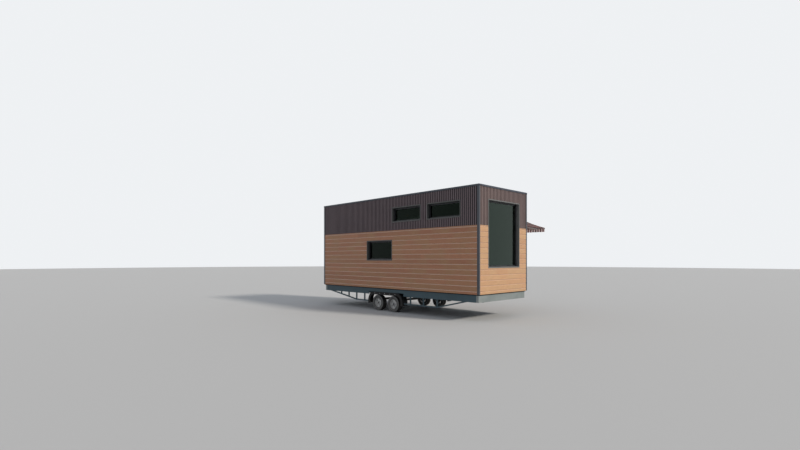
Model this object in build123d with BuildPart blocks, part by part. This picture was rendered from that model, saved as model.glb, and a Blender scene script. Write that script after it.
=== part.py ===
from build123d import *
import os
from collections import namedtuple
from math import atan2, cos, hypot, sin

os.makedirs("parts", exist_ok=True)

# House body, measured over its corner trims. Its height adds up from the chassis, the door and the metal band.
house_length = 7320
house_width = 2500
cladding_bottom = 765
metal_band_height = 1120

# Shell of the house
wall_thickness = 120
cladding_depth = 30
floor_thickness = 100
roof_thickness = 100
kerb_width = 120
kerb_height = 35
coping_sheet = 4
coping_skirt = 50
coping_joint = 2

# Ribbed metal cladding of the upper walls
rib_pitch = 70
rib_crest = 28
rib_flank = 6
rib_height = 22
rib_pan = 4

# Corner trims
trim_sheet = 3
trim_long_leg = 70
trim_end_leg = 50

# Windows, with their heads measured down from the roof or from the top of the boards
window_head_drop = 395
upper_window_width = 1250
upper_window_height = 450
upper_window_gap = 290
upper_window_setback = 660
middle_window_width = 1240
middle_window_height = 640
middle_window_drop = 325
middle_window_setback = 3480
rear_window_width = 1590
rear_window_sill = 1505
frame_face = 45
frame_depth = 60
frame_recess = 90
reveal_sheet = 6
reveal_flange = 22
glass_thickness = 24

# Entrance door in the right wall
door_width = 900
door_height = 2040
door_setback = 1250
door_frame_face = 60
door_stop = 15
door_leaf_thickness = 50
door_stile = 110
door_panel_height = 620
door_head_rise = 205
door_clearance = 3
handle_height = 1105
handle_length = 125
handle_bar_height = 20
handle_bar_depth = 14
handle_stand = 38
handle_spindle_radius = 10
handle_plate_width = 34
handle_plate_height = 210
handle_plate_depth = 9
handle_plate_drop = 55
handle_corner = 9

# Awning over the door
awning_length = 3000
awning_setback = 190
awning_reach = 1500
awning_drop = 172
awning_end_cap = 10
cassette_gap = 25
cassette_height = 130
cassette_depth = 120
cassette_corner = 34
awning_cloth = 3
front_bar_depth = 60
front_bar_height = 50
front_bar_corner = 18
valance_height = 135
valance_seam = 11
arm_width = 40
arm_height = 28
arm_bracket = 60
arm_gap = 28
arm_elbow_out = 330
arm_spread = 260
arm_knuckle = 25

# Chassis
rail_bottom = 540
rail_height = 200
rail_width = 80
rail_sheet = 8
rail_inset = 55
cross_member_width = 50
cross_member_height = 100
cross_member_count = 11
bearer_width = 60
bearer_height = 100
bearer_inset = 320
bearer_rear_setback = 2500
bearer_length = 2600

# Lattice girders below the side rails
lattice_bar = 40
lattice_post = 34
lattice_drop = 260
lattice_inset = 75
rear_end_setback = 460
rear_knee_gap = 1410
rear_post_pitch = 560
front_end_setback = 330
front_knee_gap = 730
front_post_pitch = 450

# Wheels and axles
tyre_radius = 264
tyre_width = 195
tread_inset = 16
tread_step = 5
shoulder_drop = 18
shoulder_inset = 3
shoulder_bulge = 7
axle_spacing = 755
axle_setback = 3835
wheel_inset = 40
rim_radius = 152
rim_sheet = 6
rim_flange = 11
bead_width = 140
wheel_disc_offset = 26
wheel_disc = 8
wheel_dish = 16
wheel_window_radius = 25
wheel_window_circle = 99
wheel_window_count = 5
drum_radius = 96
drum_setback = 38
hub_radius = 52
hub_nose = 52
hub_taper = 12
stub_radius = 17.5
stub_clearance = 0.05
running_gap = 6
backing_plate = 7
arm_thickness = 40
arm_hub_radius = 42
arm_beam_radius = 50
arm_lead = 130
arm_rise = 100
beam_size = 70
beam_bracket = 90
plate_margin = 12
arm_boss_margin = 8

# Mudguards over both wheels of a side
guard_length = 1690
guard_top = 632
guard_bottom = 235
guard_corner = 300
guard_sheet = 4
guard_width = 235
guard_lip = 95
guard_inset = 18
guard_clearance = 10

# Drawbar and coupling
drawbar_reach = 1250
drawbar_spread = 1700
drawbar_arm_reach = 780
drawbar_arm_width = 60
shank_width = 70
shank_height = 100
shank_centre = 540
shank_tail = 560
head_length = 260
head_width = 90
head_height = 80
head_corner = 14
head_sleeve = 40
ball_radius = 25.4
ball_depth = 6
ball_offset = 4
lever_width = 26
lever_length = 190
lever_rise = 70
lever_thickness = 16
lever_foot = 54
lever_sink = 4

# Places worked out from the sizes above, with the origin on the ground below the middle of the footprint
overall_length = drawbar_reach + house_length + coping_sheet
overall_width = coping_sheet + house_width + awning_reach
x_rear = overall_length / 2 - coping_sheet
x_front = x_rear - house_length
x_mid = (x_front + x_rear) / 2
y_left = coping_sheet - overall_width / 2
y_right = y_left + house_width
y_mid = (y_left + y_right) / 2
board_face = trim_sheet
wall_face = board_face + cladding_depth
room_face = wall_face + wall_thickness
deck_bottom = rail_bottom + rail_height
deck_top = deck_bottom + floor_thickness
cladding_split = deck_top + door_height - door_head_rise
roof_top = cladding_split + metal_band_height
kerb_bottom = roof_top - kerb_height
wall_top = kerb_bottom - roof_thickness
trim_top = roof_top - coping_skirt
wall_length = house_length - 2 * wall_face
wall_width = house_width - 2 * wall_face
wheel_centre_inset = wheel_inset + tyre_width / 2

Opening = namedtuple("Opening", "x sill width height")

# Each side of the body is a plane on its outer face, with local x along the wall and local y upwards
sides = {
    "left": Plane((x_mid, y_left, 0), x_dir=(1, 0, 0), z_dir=(0, -1, 0)),
    "right": Plane((x_mid, y_right, 0), x_dir=(-1, 0, 0), z_dir=(0, 1, 0)),
    "rear": Plane((x_rear, y_mid, 0), x_dir=(0, 1, 0), z_dir=(1, 0, 0)),
    "front": Plane((x_front, y_mid, 0), x_dir=(0, -1, 0), z_dir=(-1, 0, 0)),
}


def along(setback, width):
    """Local x on the left side of something that starts this far from the rear face."""
    return house_length / 2 - setback - width / 2


window_head = roof_top - window_head_drop
upper_window_sill = window_head - upper_window_height
upper_near = along(upper_window_setback, upper_window_width)
upper_far = upper_near - upper_window_width - upper_window_gap
upper_windows = [
    Opening(x, upper_window_sill, upper_window_width, upper_window_height) for x in (upper_near, upper_far)
]
middle_window_sill = cladding_split - middle_window_drop - middle_window_height
middle_x = along(middle_window_setback, middle_window_width)
left_middle = Opening(middle_x, middle_window_sill, middle_window_width, middle_window_height)
door_x = -along(door_setback, door_width)

windows = {
    "left": [left_middle] + upper_windows,
    "right": [left_middle._replace(x=-middle_x)] + upper_windows,
    "rear": [Opening(0, rear_window_sill, rear_window_width, window_head - rear_window_sill)],
    "front": [],
}
door_opening = Opening(door_x, deck_top, door_width, door_height)
openings = dict(windows, right=windows["right"] + [door_opening])


def keep(piece, node):
    """Label a finished piece and write it under its node's name."""
    piece.part.label = node
    export_step(piece.part, f"parts/{node}.step")


def panel(side, depth, thickness, length, bottom, top):
    """A flat panel behind the face of one side, with that side's openings cut through it."""
    with BuildPart() as piece:
        with BuildSketch(sides[side].offset(-depth)):
            with Locations((0, (bottom + top) / 2)):
                Rectangle(length, top - bottom)
            for hole in openings[side]:
                with Locations((hole.x, hole.sill + hole.height / 2)):
                    Rectangle(hole.width, hole.height, mode=Mode.SUBTRACT)
        extrude(amount=-thickness)
    return piece


def rib_points(length):
    """Outline of a ribbed sheet seen from above, from its flat back round over every rib."""
    count = int(length // rib_pitch)
    back = wall_face
    valley = back - rib_pan
    crest = valley - rib_height
    points = [(length / 2, back), (-length / 2, back), (-length / 2, valley)]
    for number in range(count):
        middle = (number - (count - 1) / 2) * rib_pitch
        foot = rib_crest / 2 + rib_flank
        points += [(middle - foot, valley), (middle - rib_crest / 2, crest)]
        points += [(middle + rib_crest / 2, crest), (middle + foot, valley)]
    points += [(length / 2, valley), (length / 2, back)]
    return points


def ribbed_sheet(side, length):
    """The trapezoid-ribbed cladding of one side, drawn in plan and pulled up to the kerb."""
    face = sides[side]
    plan = Plane(face.origin + Vector(0, 0, cladding_split), x_dir=face.x_dir, z_dir=(0, 0, 1))
    with BuildPart() as piece:
        with BuildSketch(plan):
            with BuildLine():
                Polyline(*rib_points(length))
            make_face()
        extrude(amount=kerb_bottom - cladding_split)
        if openings[side]:
            with BuildSketch(face):
                for hole in openings[side]:
                    with Locations((hole.x, hole.sill + hole.height / 2)):
                        Rectangle(hole.width, hole.height)
            extrude(amount=-wall_face - cladding_depth, mode=Mode.SUBTRACT)
    return piece


def ring(plane, holes, face, depth, lap=0):
    """Rectangular rings in the edge of each opening, which may also lap over the wall around it."""
    with BuildSketch(plane) as rings:
        for hole in holes:
            with Locations((hole.x, hole.sill + hole.height / 2)):
                Rectangle(hole.width + 2 * lap, hole.height + 2 * lap)
                Rectangle(hole.width - 2 * face, hole.height - 2 * face, mode=Mode.SUBTRACT)
    return extrude(rings.sketch, amount=-depth)


def window_frames(side):
    """Deep metal frames with a thin lining that runs out to the wall's face and laps over it."""
    plane = sides[side]
    recess = board_face + frame_recess
    with BuildPart() as piece:
        add(ring(plane, windows[side], reveal_sheet, board_face, reveal_flange))
        add(ring(plane, windows[side], reveal_sheet, recess))
        add(ring(plane.offset(-recess), windows[side], frame_face, frame_depth))
    return piece


def window_glass(side):
    """Sealed double glazing in the middle of each frame."""
    depth = board_face + frame_recess + (frame_depth - glass_thickness) / 2
    with BuildPart() as piece:
        with BuildSketch(sides[side].offset(-depth)):
            for hole in windows[side]:
                with Locations((hole.x, hole.sill + hole.height / 2)):
                    Rectangle(hole.width - 2 * frame_face, hole.height - 2 * frame_face)
        extrude(amount=-glass_thickness)
    return piece


# Floor and roof decks cover the whole plan of the walls
with BuildPart() as floor_deck:
    with BuildSketch(Plane.XY.offset(deck_bottom)):
        with Locations((x_mid, y_mid)):
            Rectangle(wall_length, wall_width)
    extrude(amount=floor_thickness)
keep(floor_deck, "floor_deck")

with BuildPart() as roof_deck:
    with BuildSketch(Plane.XY.offset(wall_top)):
        with Locations((x_mid, y_mid)):
            Rectangle(wall_length, wall_width)
    extrude(amount=roof_thickness)
keep(roof_deck, "roof_deck")

# The side walls run the full length and the end walls stand between them
for side in ("left", "right"):
    keep(panel(side, wall_face, wall_thickness, wall_length, deck_top, wall_top), f"{side}_wall")
for side in ("rear", "front"):
    between = house_width - 2 * room_face
    keep(panel(side, wall_face, wall_thickness, between, deck_top, wall_top), f"{side}_wall")

# Horizontal boards clad the lower walls and ribbed metal sheets the upper walls
for side, length in (
    ("left", house_length - 2 * board_face),
    ("right", house_length - 2 * board_face),
    ("rear", wall_width),
    ("front", wall_width),
):
    boards = panel(side, board_face, cladding_depth, length, cladding_bottom, cladding_split)
    keep(boards, f"{side}_boards")
    keep(ribbed_sheet(side, length), f"{side}_ribbed_sheet")

# Folded angles cover the four corners
with BuildPart() as corner_trims:
    with BuildSketch(Plane.XY.offset(cladding_bottom)):
        with Locations((x_mid, y_mid)):
            Rectangle(house_length, house_width)
            Rectangle(house_length - 2 * trim_sheet, house_width - 2 * trim_sheet, mode=Mode.SUBTRACT)
            Rectangle(house_length - 2 * trim_long_leg, house_width, mode=Mode.SUBTRACT)
            Rectangle(house_length, house_width - 2 * trim_end_leg, mode=Mode.SUBTRACT)
    extrude(amount=trim_top - cladding_bottom)
keep(corner_trims, "corner_trims")

# A capped kerb with a skirt runs round the roof edge, as four lengths with open joints
with BuildPart() as roof_coping:
    for side, length in (
        ("left", house_length + 2 * coping_sheet),
        ("right", house_length + 2 * coping_sheet),
        ("rear", house_width - 2 * kerb_width - 2 * coping_joint),
        ("front", house_width - 2 * kerb_width - 2 * coping_joint),
    ):
        face = sides[side]
        section = Plane(face.origin, x_dir=-face.z_dir, z_dir=face.x_dir)
        with BuildSketch(section):
            with BuildLine():
                Polyline(
                    (-coping_sheet, trim_top),
                    (-coping_sheet, roof_top),
                    (kerb_width, roof_top),
                    (kerb_width, kerb_bottom),
                    (0, kerb_bottom),
                    (0, trim_top),
                    close=True,
                )
            make_face()
        extrude(amount=length / 2, both=True)
keep(roof_coping, "roof_coping")

# Windows
for side in ("left", "right", "rear"):
    keep(window_frames(side), f"{side}_window_frames")
    keep(window_glass(side), f"{side}_window_glass")

# The door frame has a stop on its inner edge, and the leaf shuts against it
door_plane = sides["right"].offset(-board_face)
door_inner = Opening(
    door_x,
    deck_top + door_frame_face - door_stop,
    door_width - 2 * (door_frame_face - door_stop),
    door_height - 2 * (door_frame_face - door_stop),
)
with BuildPart() as door_frame:
    add(ring(sides["right"], [door_opening], door_frame_face - door_stop, board_face, reveal_flange))
    add(ring(door_plane, [door_opening], door_frame_face - door_stop, frame_recess + door_leaf_thickness))
    add(ring(door_plane.offset(-frame_recess - door_leaf_thickness), [door_opening], door_frame_face, door_stop))
keep(door_frame, "door_frame")

leaf_plane = door_plane.offset(-frame_recess)
leaf_width = door_inner.width - 2 * door_clearance
leaf_height = door_inner.height - 2 * door_clearance
leaf_bottom = door_inner.sill + door_clearance
light_bottom = leaf_bottom + door_panel_height
light_top = leaf_bottom + leaf_height - door_stile
light_width = leaf_width - 2 * door_stile
with BuildPart() as door_leaf:
    with BuildSketch(leaf_plane):
        with Locations((door_x, leaf_bottom + leaf_height / 2)):
            Rectangle(leaf_width, leaf_height)
        with Locations((door_x, (light_bottom + light_top) / 2)):
            Rectangle(light_width, light_top - light_bottom, mode=Mode.SUBTRACT)
    extrude(amount=-door_leaf_thickness)
keep(door_leaf, "door_leaf")

with BuildPart() as door_glass:
    with BuildSketch(leaf_plane.offset(-(door_leaf_thickness - glass_thickness) / 2)):
        with Locations((door_x, (light_bottom + light_top) / 2)):
            Rectangle(light_width, light_top - light_bottom)
    extrude(amount=-glass_thickness)
keep(door_glass, "door_glass")

handle_x = door_x + leaf_width / 2 - door_stile / 2
handle_y = deck_top + handle_height
with BuildPart() as door_handle:
    with BuildSketch(leaf_plane):
        with Locations((handle_x, handle_y - handle_plate_drop)):
            RectangleRounded(handle_plate_width, handle_plate_height, handle_corner)
    extrude(amount=handle_plate_depth)
    with BuildSketch(leaf_plane):
        with Locations((handle_x, handle_y)):
            Circle(handle_spindle_radius)
    extrude(amount=handle_stand + handle_bar_depth)
    with BuildSketch(leaf_plane.offset(handle_stand)):
        with Locations((handle_x - handle_length / 2 + handle_spindle_radius, handle_y)):
            RectangleRounded(handle_length, handle_bar_height, handle_corner)
    extrude(amount=handle_bar_depth)
keep(door_handle, "door_handle")

# Awning: a cassette on the wall, a sloped cloth, a front bar with its valance and two folding arms
awning_x = x_rear - awning_setback - awning_length / 2
rib_face = board_face + cladding_depth - rib_pan - rib_height
cassette_back = y_right - rib_face
cassette_front = cassette_back + cassette_depth
cassette_bottom = door_opening.sill + door_height + cassette_gap
bar_front = y_right + awning_reach - awning_cloth
bar_back = bar_front - front_bar_depth
cloth_start = cassette_bottom + cassette_height / 2
cloth_end = cloth_start - awning_drop
bar_top = cloth_end + awning_cloth
awning_end_plane = Plane((awning_x, 0, 0), x_dir=(0, 1, 0), z_dir=(1, 0, 0))
cloth_width = awning_length - 2 * awning_end_cap

with BuildPart() as awning_cassette:
    with BuildSketch(awning_end_plane):
        with Locations(((cassette_back + cassette_front) / 2, cassette_bottom + cassette_height / 2)):
            box_section = Rectangle(cassette_depth, cassette_height)
        fillet(box_section.vertices().group_by(Axis.Y)[-1], radius=cassette_corner)
    extrude(amount=awning_length / 2, both=True)
keep(awning_cassette, "awning_cassette")

with BuildPart() as awning_fabric:
    with BuildSketch(awning_end_plane):
        with BuildLine():
            Polyline(
                (cassette_front, cloth_start),
                (cassette_front, cloth_start + awning_cloth),
                (bar_back, cloth_end + awning_cloth),
                (bar_back, cloth_end),
                close=True,
            )
        make_face()
    extrude(amount=cloth_width / 2, both=True)
keep(awning_fabric, "awning_fabric")

with BuildPart() as awning_front_bar:
    with BuildSketch(awning_end_plane):
        with Locations(((bar_back + bar_front) / 2, bar_top - front_bar_height / 2)):
            bar_section = Rectangle(front_bar_depth, front_bar_height)
        fillet(bar_section.vertices().group_by(Axis.Y)[-1], radius=front_bar_corner)
    extrude(amount=awning_length / 2, both=True)
keep(awning_front_bar, "awning_front_bar")

with BuildPart() as awning_valance:
    with BuildSketch(awning_end_plane):
        with Locations((bar_front + awning_cloth / 2, bar_top - valance_seam - valance_height / 2)):
            Rectangle(awning_cloth, valance_height)
    extrude(amount=cloth_width / 2, both=True)
keep(awning_valance, "awning_valance")

arm_run = bar_back - cassette_front
arm_slope = atan2(awning_drop, arm_run)
arm_reach = hypot(arm_run, awning_drop)
with BuildPart() as awning_arms:
    for turn in (-1, 1):
        shoulder = awning_length / 2 - arm_spread
        elbow = shoulder - arm_elbow_out
        arm_plane = Plane(
            (awning_x, cassette_front, cloth_start - arm_gap - arm_height / 2),
            x_dir=(turn, 0, 0),
            z_dir=(0, turn * sin(arm_slope), turn * cos(arm_slope)),
        )
        with BuildSketch(arm_plane):
            with BuildLine():
                Polyline(
                    (shoulder, -arm_width),
                    (shoulder, arm_bracket / 2),
                    (elbow, arm_reach / 2),
                    (shoulder, arm_reach - arm_bracket / 2),
                    (shoulder, arm_reach + arm_width),
                )
            trace(line_width=arm_width)
            with Locations(
                (shoulder, arm_bracket / 2), (elbow, arm_reach / 2), (shoulder, arm_reach - arm_bracket / 2)
            ):
                Circle(arm_knuckle)
        extrude(amount=arm_height / 2, both=True)
    split(bisect_by=Plane((0, cassette_front, 0), z_dir=(0, 1, 0)), keep=Keep.TOP)
    split(bisect_by=Plane((0, bar_back, 0), z_dir=(0, -1, 0)), keep=Keep.TOP)
keep(awning_arms, "awning_arms")

# Chassis rails are folded channels, open inwards and closed at their ends
x_chassis_front = x_front + rail_inset
side_rail_length = house_length - 2 * (rail_inset + rail_width)
guard_middle = x_rear - axle_setback
notch_width = guard_length + 2 * guard_clearance


def channel(side, length):
    """A channel below the deck, with its web outwards and its open side inwards."""
    plane = sides[side].offset(-rail_inset)
    level = (rail_bottom + deck_bottom) / 2
    with BuildPart() as piece:
        with BuildSketch(plane):
            with Locations((0, level)):
                Rectangle(length, rail_height)
        extrude(amount=-rail_width)
        with BuildSketch(plane.offset(-rail_sheet)):
            with Locations((0, level)):
                Rectangle(length - 2 * rail_sheet, rail_height - 2 * rail_sheet)
        extrude(amount=rail_sheet - rail_width, mode=Mode.SUBTRACT)
    return piece.part


# The side rails are notched over the mudguards, with a plate along the top of the notch
guard_local = guard_middle - x_mid
with BuildPart() as side_rails:
    for side, turn in (("left", 1), ("right", -1)):
        add(channel(side, side_rail_length))
        plane = sides[side].offset(-rail_inset)
        with BuildSketch(plane):
            with Locations((turn * guard_local, (rail_bottom + guard_top) / 2)):
                Rectangle(notch_width, guard_top - rail_bottom)
        extrude(amount=-rail_width, mode=Mode.SUBTRACT)
        with BuildSketch(plane):
            with Locations((turn * guard_local, guard_top + rail_sheet / 2)):
                Rectangle(notch_width, rail_sheet)
        extrude(amount=-rail_width)
keep(side_rails, "side_rails")

with BuildPart() as end_rails:
    for side in ("rear", "front"):
        add(channel(side, house_width - 2 * rail_inset))
keep(end_rails, "end_rails")

with BuildPart() as cross_members:
    with BuildSketch(Plane.XY.offset(deck_bottom - cross_member_height)):
        with Locations((x_mid, y_mid)):
            with GridLocations(side_rail_length / (cross_member_count + 1), 0, cross_member_count, 1):
                Rectangle(cross_member_width, house_width - 2 * (rail_inset + rail_width))
    extrude(amount=cross_member_height)
keep(cross_members, "cross_members")

bearer_top = deck_bottom - cross_member_height
with BuildPart() as axle_bearers:
    with BuildSketch(Plane.XY.offset(bearer_top - bearer_height)):
        with Locations((x_rear - bearer_rear_setback - bearer_length / 2, y_mid)):
            with GridLocations(0, house_width - 2 * bearer_inset - bearer_width, 1, 2):
                Rectangle(bearer_length, bearer_width)
    extrude(amount=bearer_height)
keep(axle_bearers, "axle_bearers")

# Lattice girders carry the rails before and behind the wheels
chord_bottom = rail_bottom - lattice_drop
chord_top = chord_bottom + lattice_bar


def lattice_sketch(lattice_y, rail_end, knee, wheel_end, posts):
    """Half a girder in elevation: a chord that drops from the rail to its knee, with posts where they part."""
    away = 1 if wheel_end > rail_end else -1
    slope = lattice_drop / abs(knee - rail_end)
    with BuildSketch(Plane.XZ.offset(-lattice_y)) as sketch:
        with BuildLine():
            Polyline(
                (rail_end, rail_bottom),
                (rail_end + away * lattice_bar / slope, rail_bottom),
                (knee, chord_top),
                (wheel_end, chord_top),
                (wheel_end, chord_bottom),
                (knee, chord_bottom),
                close=True,
            )
        make_face()
        for post in posts:
            chord_surface = rail_bottom + lattice_bar - slope * away * (post - rail_end)
            foot = max(chord_top, chord_surface) - lattice_bar / 2
            if chord_surface < rail_bottom:
                with Locations((post, (foot + rail_bottom) / 2)):
                    Rectangle(lattice_post, rail_bottom - foot)
    return sketch.sketch


guard_half = guard_length / 2
rear_knee = guard_middle + guard_half + rear_knee_gap
front_knee = guard_middle - guard_half - front_knee_gap
rear_posts = [rear_knee - number * rear_post_pitch for number in range(3)]
front_posts = [front_knee + number * front_post_pitch for number in range(-2, 2)]
with BuildPart() as lattice_girders:
    for lattice_y in (y_left + lattice_inset, y_right - lattice_inset - lattice_bar):
        for rail_end, knee, wheel_end, posts in (
            (x_rear - rear_end_setback, rear_knee, guard_middle + guard_half, rear_posts),
            (x_front + front_end_setback, front_knee, guard_middle - guard_half, front_posts),
        ):
            extrude(lattice_sketch(lattice_y, rail_end, knee, wheel_end, posts), amount=-lattice_bar)
keep(lattice_girders, "lattice_girders")

# Mudguards are rolled sheet arches, open at the bottom, with a lip along the outer edge
with BuildPart() as mudguards:
    for turn, outer_y in ((1, y_left + guard_inset), (-1, y_right - guard_inset)):
        guard_plane = Plane((guard_middle, outer_y, 0), x_dir=(turn, 0, 0), z_dir=(0, -turn, 0))
        for width, sheet in ((guard_width, guard_sheet), (guard_sheet, guard_lip)):
            with BuildSketch(guard_plane):
                with BuildLine():
                    FilletPolyline(
                        (-guard_half, guard_bottom),
                        (-guard_half, guard_top),
                        (guard_half, guard_top),
                        (guard_half, guard_bottom),
                        radius=guard_corner,
                    )
                    FilletPolyline(
                        (-guard_half + sheet, guard_bottom),
                        (-guard_half + sheet, guard_top - sheet),
                        (guard_half - sheet, guard_top - sheet),
                        (guard_half - sheet, guard_bottom),
                        radius=guard_corner - sheet,
                    )
                    Line((-guard_half, guard_bottom), (-guard_half + sheet, guard_bottom))
                    Line((guard_half, guard_bottom), (guard_half - sheet, guard_bottom))
                make_face()
            extrude(amount=-width)
keep(mudguards, "mudguards")

# Wheels
wheel_places = {
    "left_front": (guard_middle - axle_spacing / 2, y_left + wheel_centre_inset, -1),
    "left_rear": (guard_middle + axle_spacing / 2, y_left + wheel_centre_inset, -1),
    "right_front": (guard_middle - axle_spacing / 2, y_right - wheel_centre_inset, 1),
    "right_rear": (guard_middle + axle_spacing / 2, y_right - wheel_centre_inset, 1),
}
half_tyre = tyre_width / 2
half_bead = bead_width / 2
tread_half = half_tyre - tread_inset
shoulder_radius = tyre_radius - shoulder_drop
flange_radius = rim_radius + rim_flange
rim_inner = rim_radius - rim_sheet
disc_front = wheel_disc_offset + wheel_disc
drum_back = -half_bead - rim_flange / 2
drum_front = wheel_disc_offset - drum_setback
stub_end = wheel_disc_offset + wheel_disc / 2
bore_radius = stub_radius + stub_clearance


def wheel_plane(place):
    """A plane through the wheel's axis, with local x outboard along the axle and local y upwards."""
    x, y, outboard = place
    return Plane((x, y, tyre_radius), x_dir=(0, outboard, 0), z_dir=(outboard, 0, 0))


for corner, place in wheel_places.items():
    axle_line = Axis((place[0], place[1], tyre_radius), (0, 1, 0))
    with BuildPart() as tyre:
        with BuildSketch(wheel_plane(place)):
            with BuildLine():
                bead = Polyline(
                    (-half_bead - rim_sheet, flange_radius),
                    (-half_bead, flange_radius),
                    (-half_bead, rim_radius),
                    (half_bead, rim_radius),
                    (half_bead, flange_radius),
                    (half_bead + rim_sheet, flange_radius),
                )
                wall = ThreePointArc(
                    bead @ 1,
                    (half_tyre, (flange_radius + shoulder_radius) / 2),
                    (half_tyre - shoulder_inset, shoulder_radius),
                )
                shoulder = ThreePointArc(
                    wall @ 1, (half_tyre - shoulder_bulge, tyre_radius - tread_step), (tread_half, tyre_radius)
                )
                Line(shoulder @ 1, (-tread_half, tyre_radius))
                mirror(wall, about=Plane.YZ)
                mirror(shoulder, about=Plane.YZ)
            make_face()
        revolve(axis=axle_line)
    keep(tyre, f"tyre_{corner}")

    with BuildPart() as wheel:
        with BuildSketch(wheel_plane(place)):
            with BuildLine():
                Polyline(
                    (-half_bead - rim_sheet, flange_radius),
                    (-half_bead, flange_radius),
                    (-half_bead, rim_radius),
                    (half_bead, rim_radius),
                    (half_bead, flange_radius),
                    (half_bead + rim_sheet, flange_radius),
                    (half_bead + rim_sheet, rim_inner),
                    (disc_front - wheel_dish, rim_inner),
                    (disc_front, hub_radius),
                    (hub_nose, hub_radius - hub_taper),
                    (hub_nose, 0),
                    (stub_end + running_gap, 0),
                    (stub_end + running_gap, bore_radius),
                    (drum_back, bore_radius),
                    (drum_back, drum_radius),
                    (drum_front, drum_radius),
                    (drum_front, hub_radius),
                    (wheel_disc_offset, hub_radius),
                    (wheel_disc_offset - wheel_dish, rim_inner),
                    (-half_bead - rim_sheet, rim_inner),
                    close=True,
                )
            make_face()
        revolve(axis=axle_line)
        dish_plane = Plane(
            (place[0], place[1] + place[2] * (wheel_disc_offset - wheel_dish), tyre_radius), z_dir=(0, place[2], 0)
        )
        with BuildSketch(dish_plane):
            with PolarLocations(wheel_window_circle, wheel_window_count, start_angle=90):
                Circle(wheel_window_radius)
        extrude(amount=wheel_dish + wheel_disc, mode=Mode.SUBTRACT)
    keep(wheel, f"wheel_{corner}")

# Axles: a square beam, trailing arms, backing plates and stubs, hung from the bearers
arm_outer = -half_tyre - running_gap * 2
arm_inner = arm_outer - arm_thickness
plate_back = drum_back - running_gap - backing_plate
for end, corners in (("front", ("left_front", "right_front")), ("rear", ("left_rear", "right_rear"))):
    axle_x = wheel_places[corners[0]][0]
    beam_x = axle_x - arm_lead
    beam_z = tyre_radius + arm_rise
    beam_length = house_width - 2 * (wheel_centre_inset - arm_inner)
    with BuildPart() as axle:
        with Locations((beam_x, y_mid, beam_z)):
            Box(beam_size, beam_length, beam_size)
        for corner in corners:
            place = wheel_places[corner]
            outboard = Plane((axle_x, place[1], 0), x_dir=(-place[2], 0, 0), z_dir=(0, place[2], 0))
            with BuildSketch(outboard.offset(arm_inner)):
                with Locations((0, tyre_radius)):
                    Circle(arm_hub_radius)
                with Locations((place[2] * arm_lead, beam_z)):
                    Circle(arm_beam_radius)
                make_hull()
            extrude(amount=arm_thickness)
            for start, stop, radius in (
                (arm_outer, plate_back, arm_hub_radius - arm_boss_margin),
                (plate_back, plate_back + backing_plate, drum_radius + plate_margin),
                (plate_back + backing_plate, stub_end, stub_radius),
            ):
                with BuildSketch(outboard.offset(start)):
                    with Locations((0, tyre_radius)):
                        Circle(radius)
                extrude(amount=stop - start)
        bracket_bottom = beam_z + beam_size / 2
        bracket_top = bearer_top - bearer_height
        with BuildSketch(Plane.XY.offset(bracket_bottom)):
            with Locations((beam_x, y_mid)):
                with GridLocations(0, house_width - 2 * bearer_inset - bearer_width, 1, 2):
                    Rectangle(beam_bracket, bearer_width)
        extrude(amount=bracket_top - bracket_bottom)
    keep(axle, f"{end}_axle")

# Drawbar: two tapered arms that meet a straight shank
shank_bottom = shank_centre - shank_height / 2
shank_top = shank_centre + shank_height / 2
shank_side = shank_width / 2
arm_end_x = x_front - drawbar_arm_reach
with BuildPart() as drawbar_arms:
    for turn in (-1, 1):
        start = Vector(x_chassis_front, y_mid + turn * drawbar_spread / 2, 0)
        finish = Vector(arm_end_x, y_mid + turn * (shank_side + drawbar_arm_width / 2), 0)
        run = finish - start
        flat = run.length
        overrun = drawbar_arm_width
        taper_top = (shank_top - deck_bottom) / flat
        taper_bottom = (shank_bottom - rail_bottom) / flat
        arm_plane = Plane(start, x_dir=run, z_dir=run.cross(Vector(0, 0, 1)))
        with BuildSketch(arm_plane):
            with BuildLine():
                Polyline(
                    (-overrun, rail_bottom),
                    (0, rail_bottom),
                    (flat, shank_bottom),
                    (flat + overrun, shank_bottom),
                    (flat + overrun, shank_top),
                    (flat, shank_top),
                    (0, deck_bottom),
                    (-overrun, deck_bottom),
                    close=True,
                )
            make_face()
        extrude(amount=drawbar_arm_width / 2, both=True)
    split(bisect_by=Plane((x_chassis_front, 0, 0), z_dir=(-1, 0, 0)), keep=Keep.TOP)
    with Locations((arm_end_x, y_mid, shank_centre)):
        Box(drawbar_spread, shank_width, 2 * rail_height, mode=Mode.SUBTRACT)
keep(drawbar_arms, "drawbar_arms")

x_tip = x_front - drawbar_reach
head_back = x_tip + head_length
with BuildPart() as drawbar_shank:
    with BuildSketch(Plane.XY.offset(shank_bottom)):
        with Locations(((head_back + x_front - shank_tail) / 2, y_mid)):
            Rectangle(x_front - shank_tail - head_back, shank_width)
    extrude(amount=shank_height)
keep(drawbar_shank, "drawbar_shank")

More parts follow.
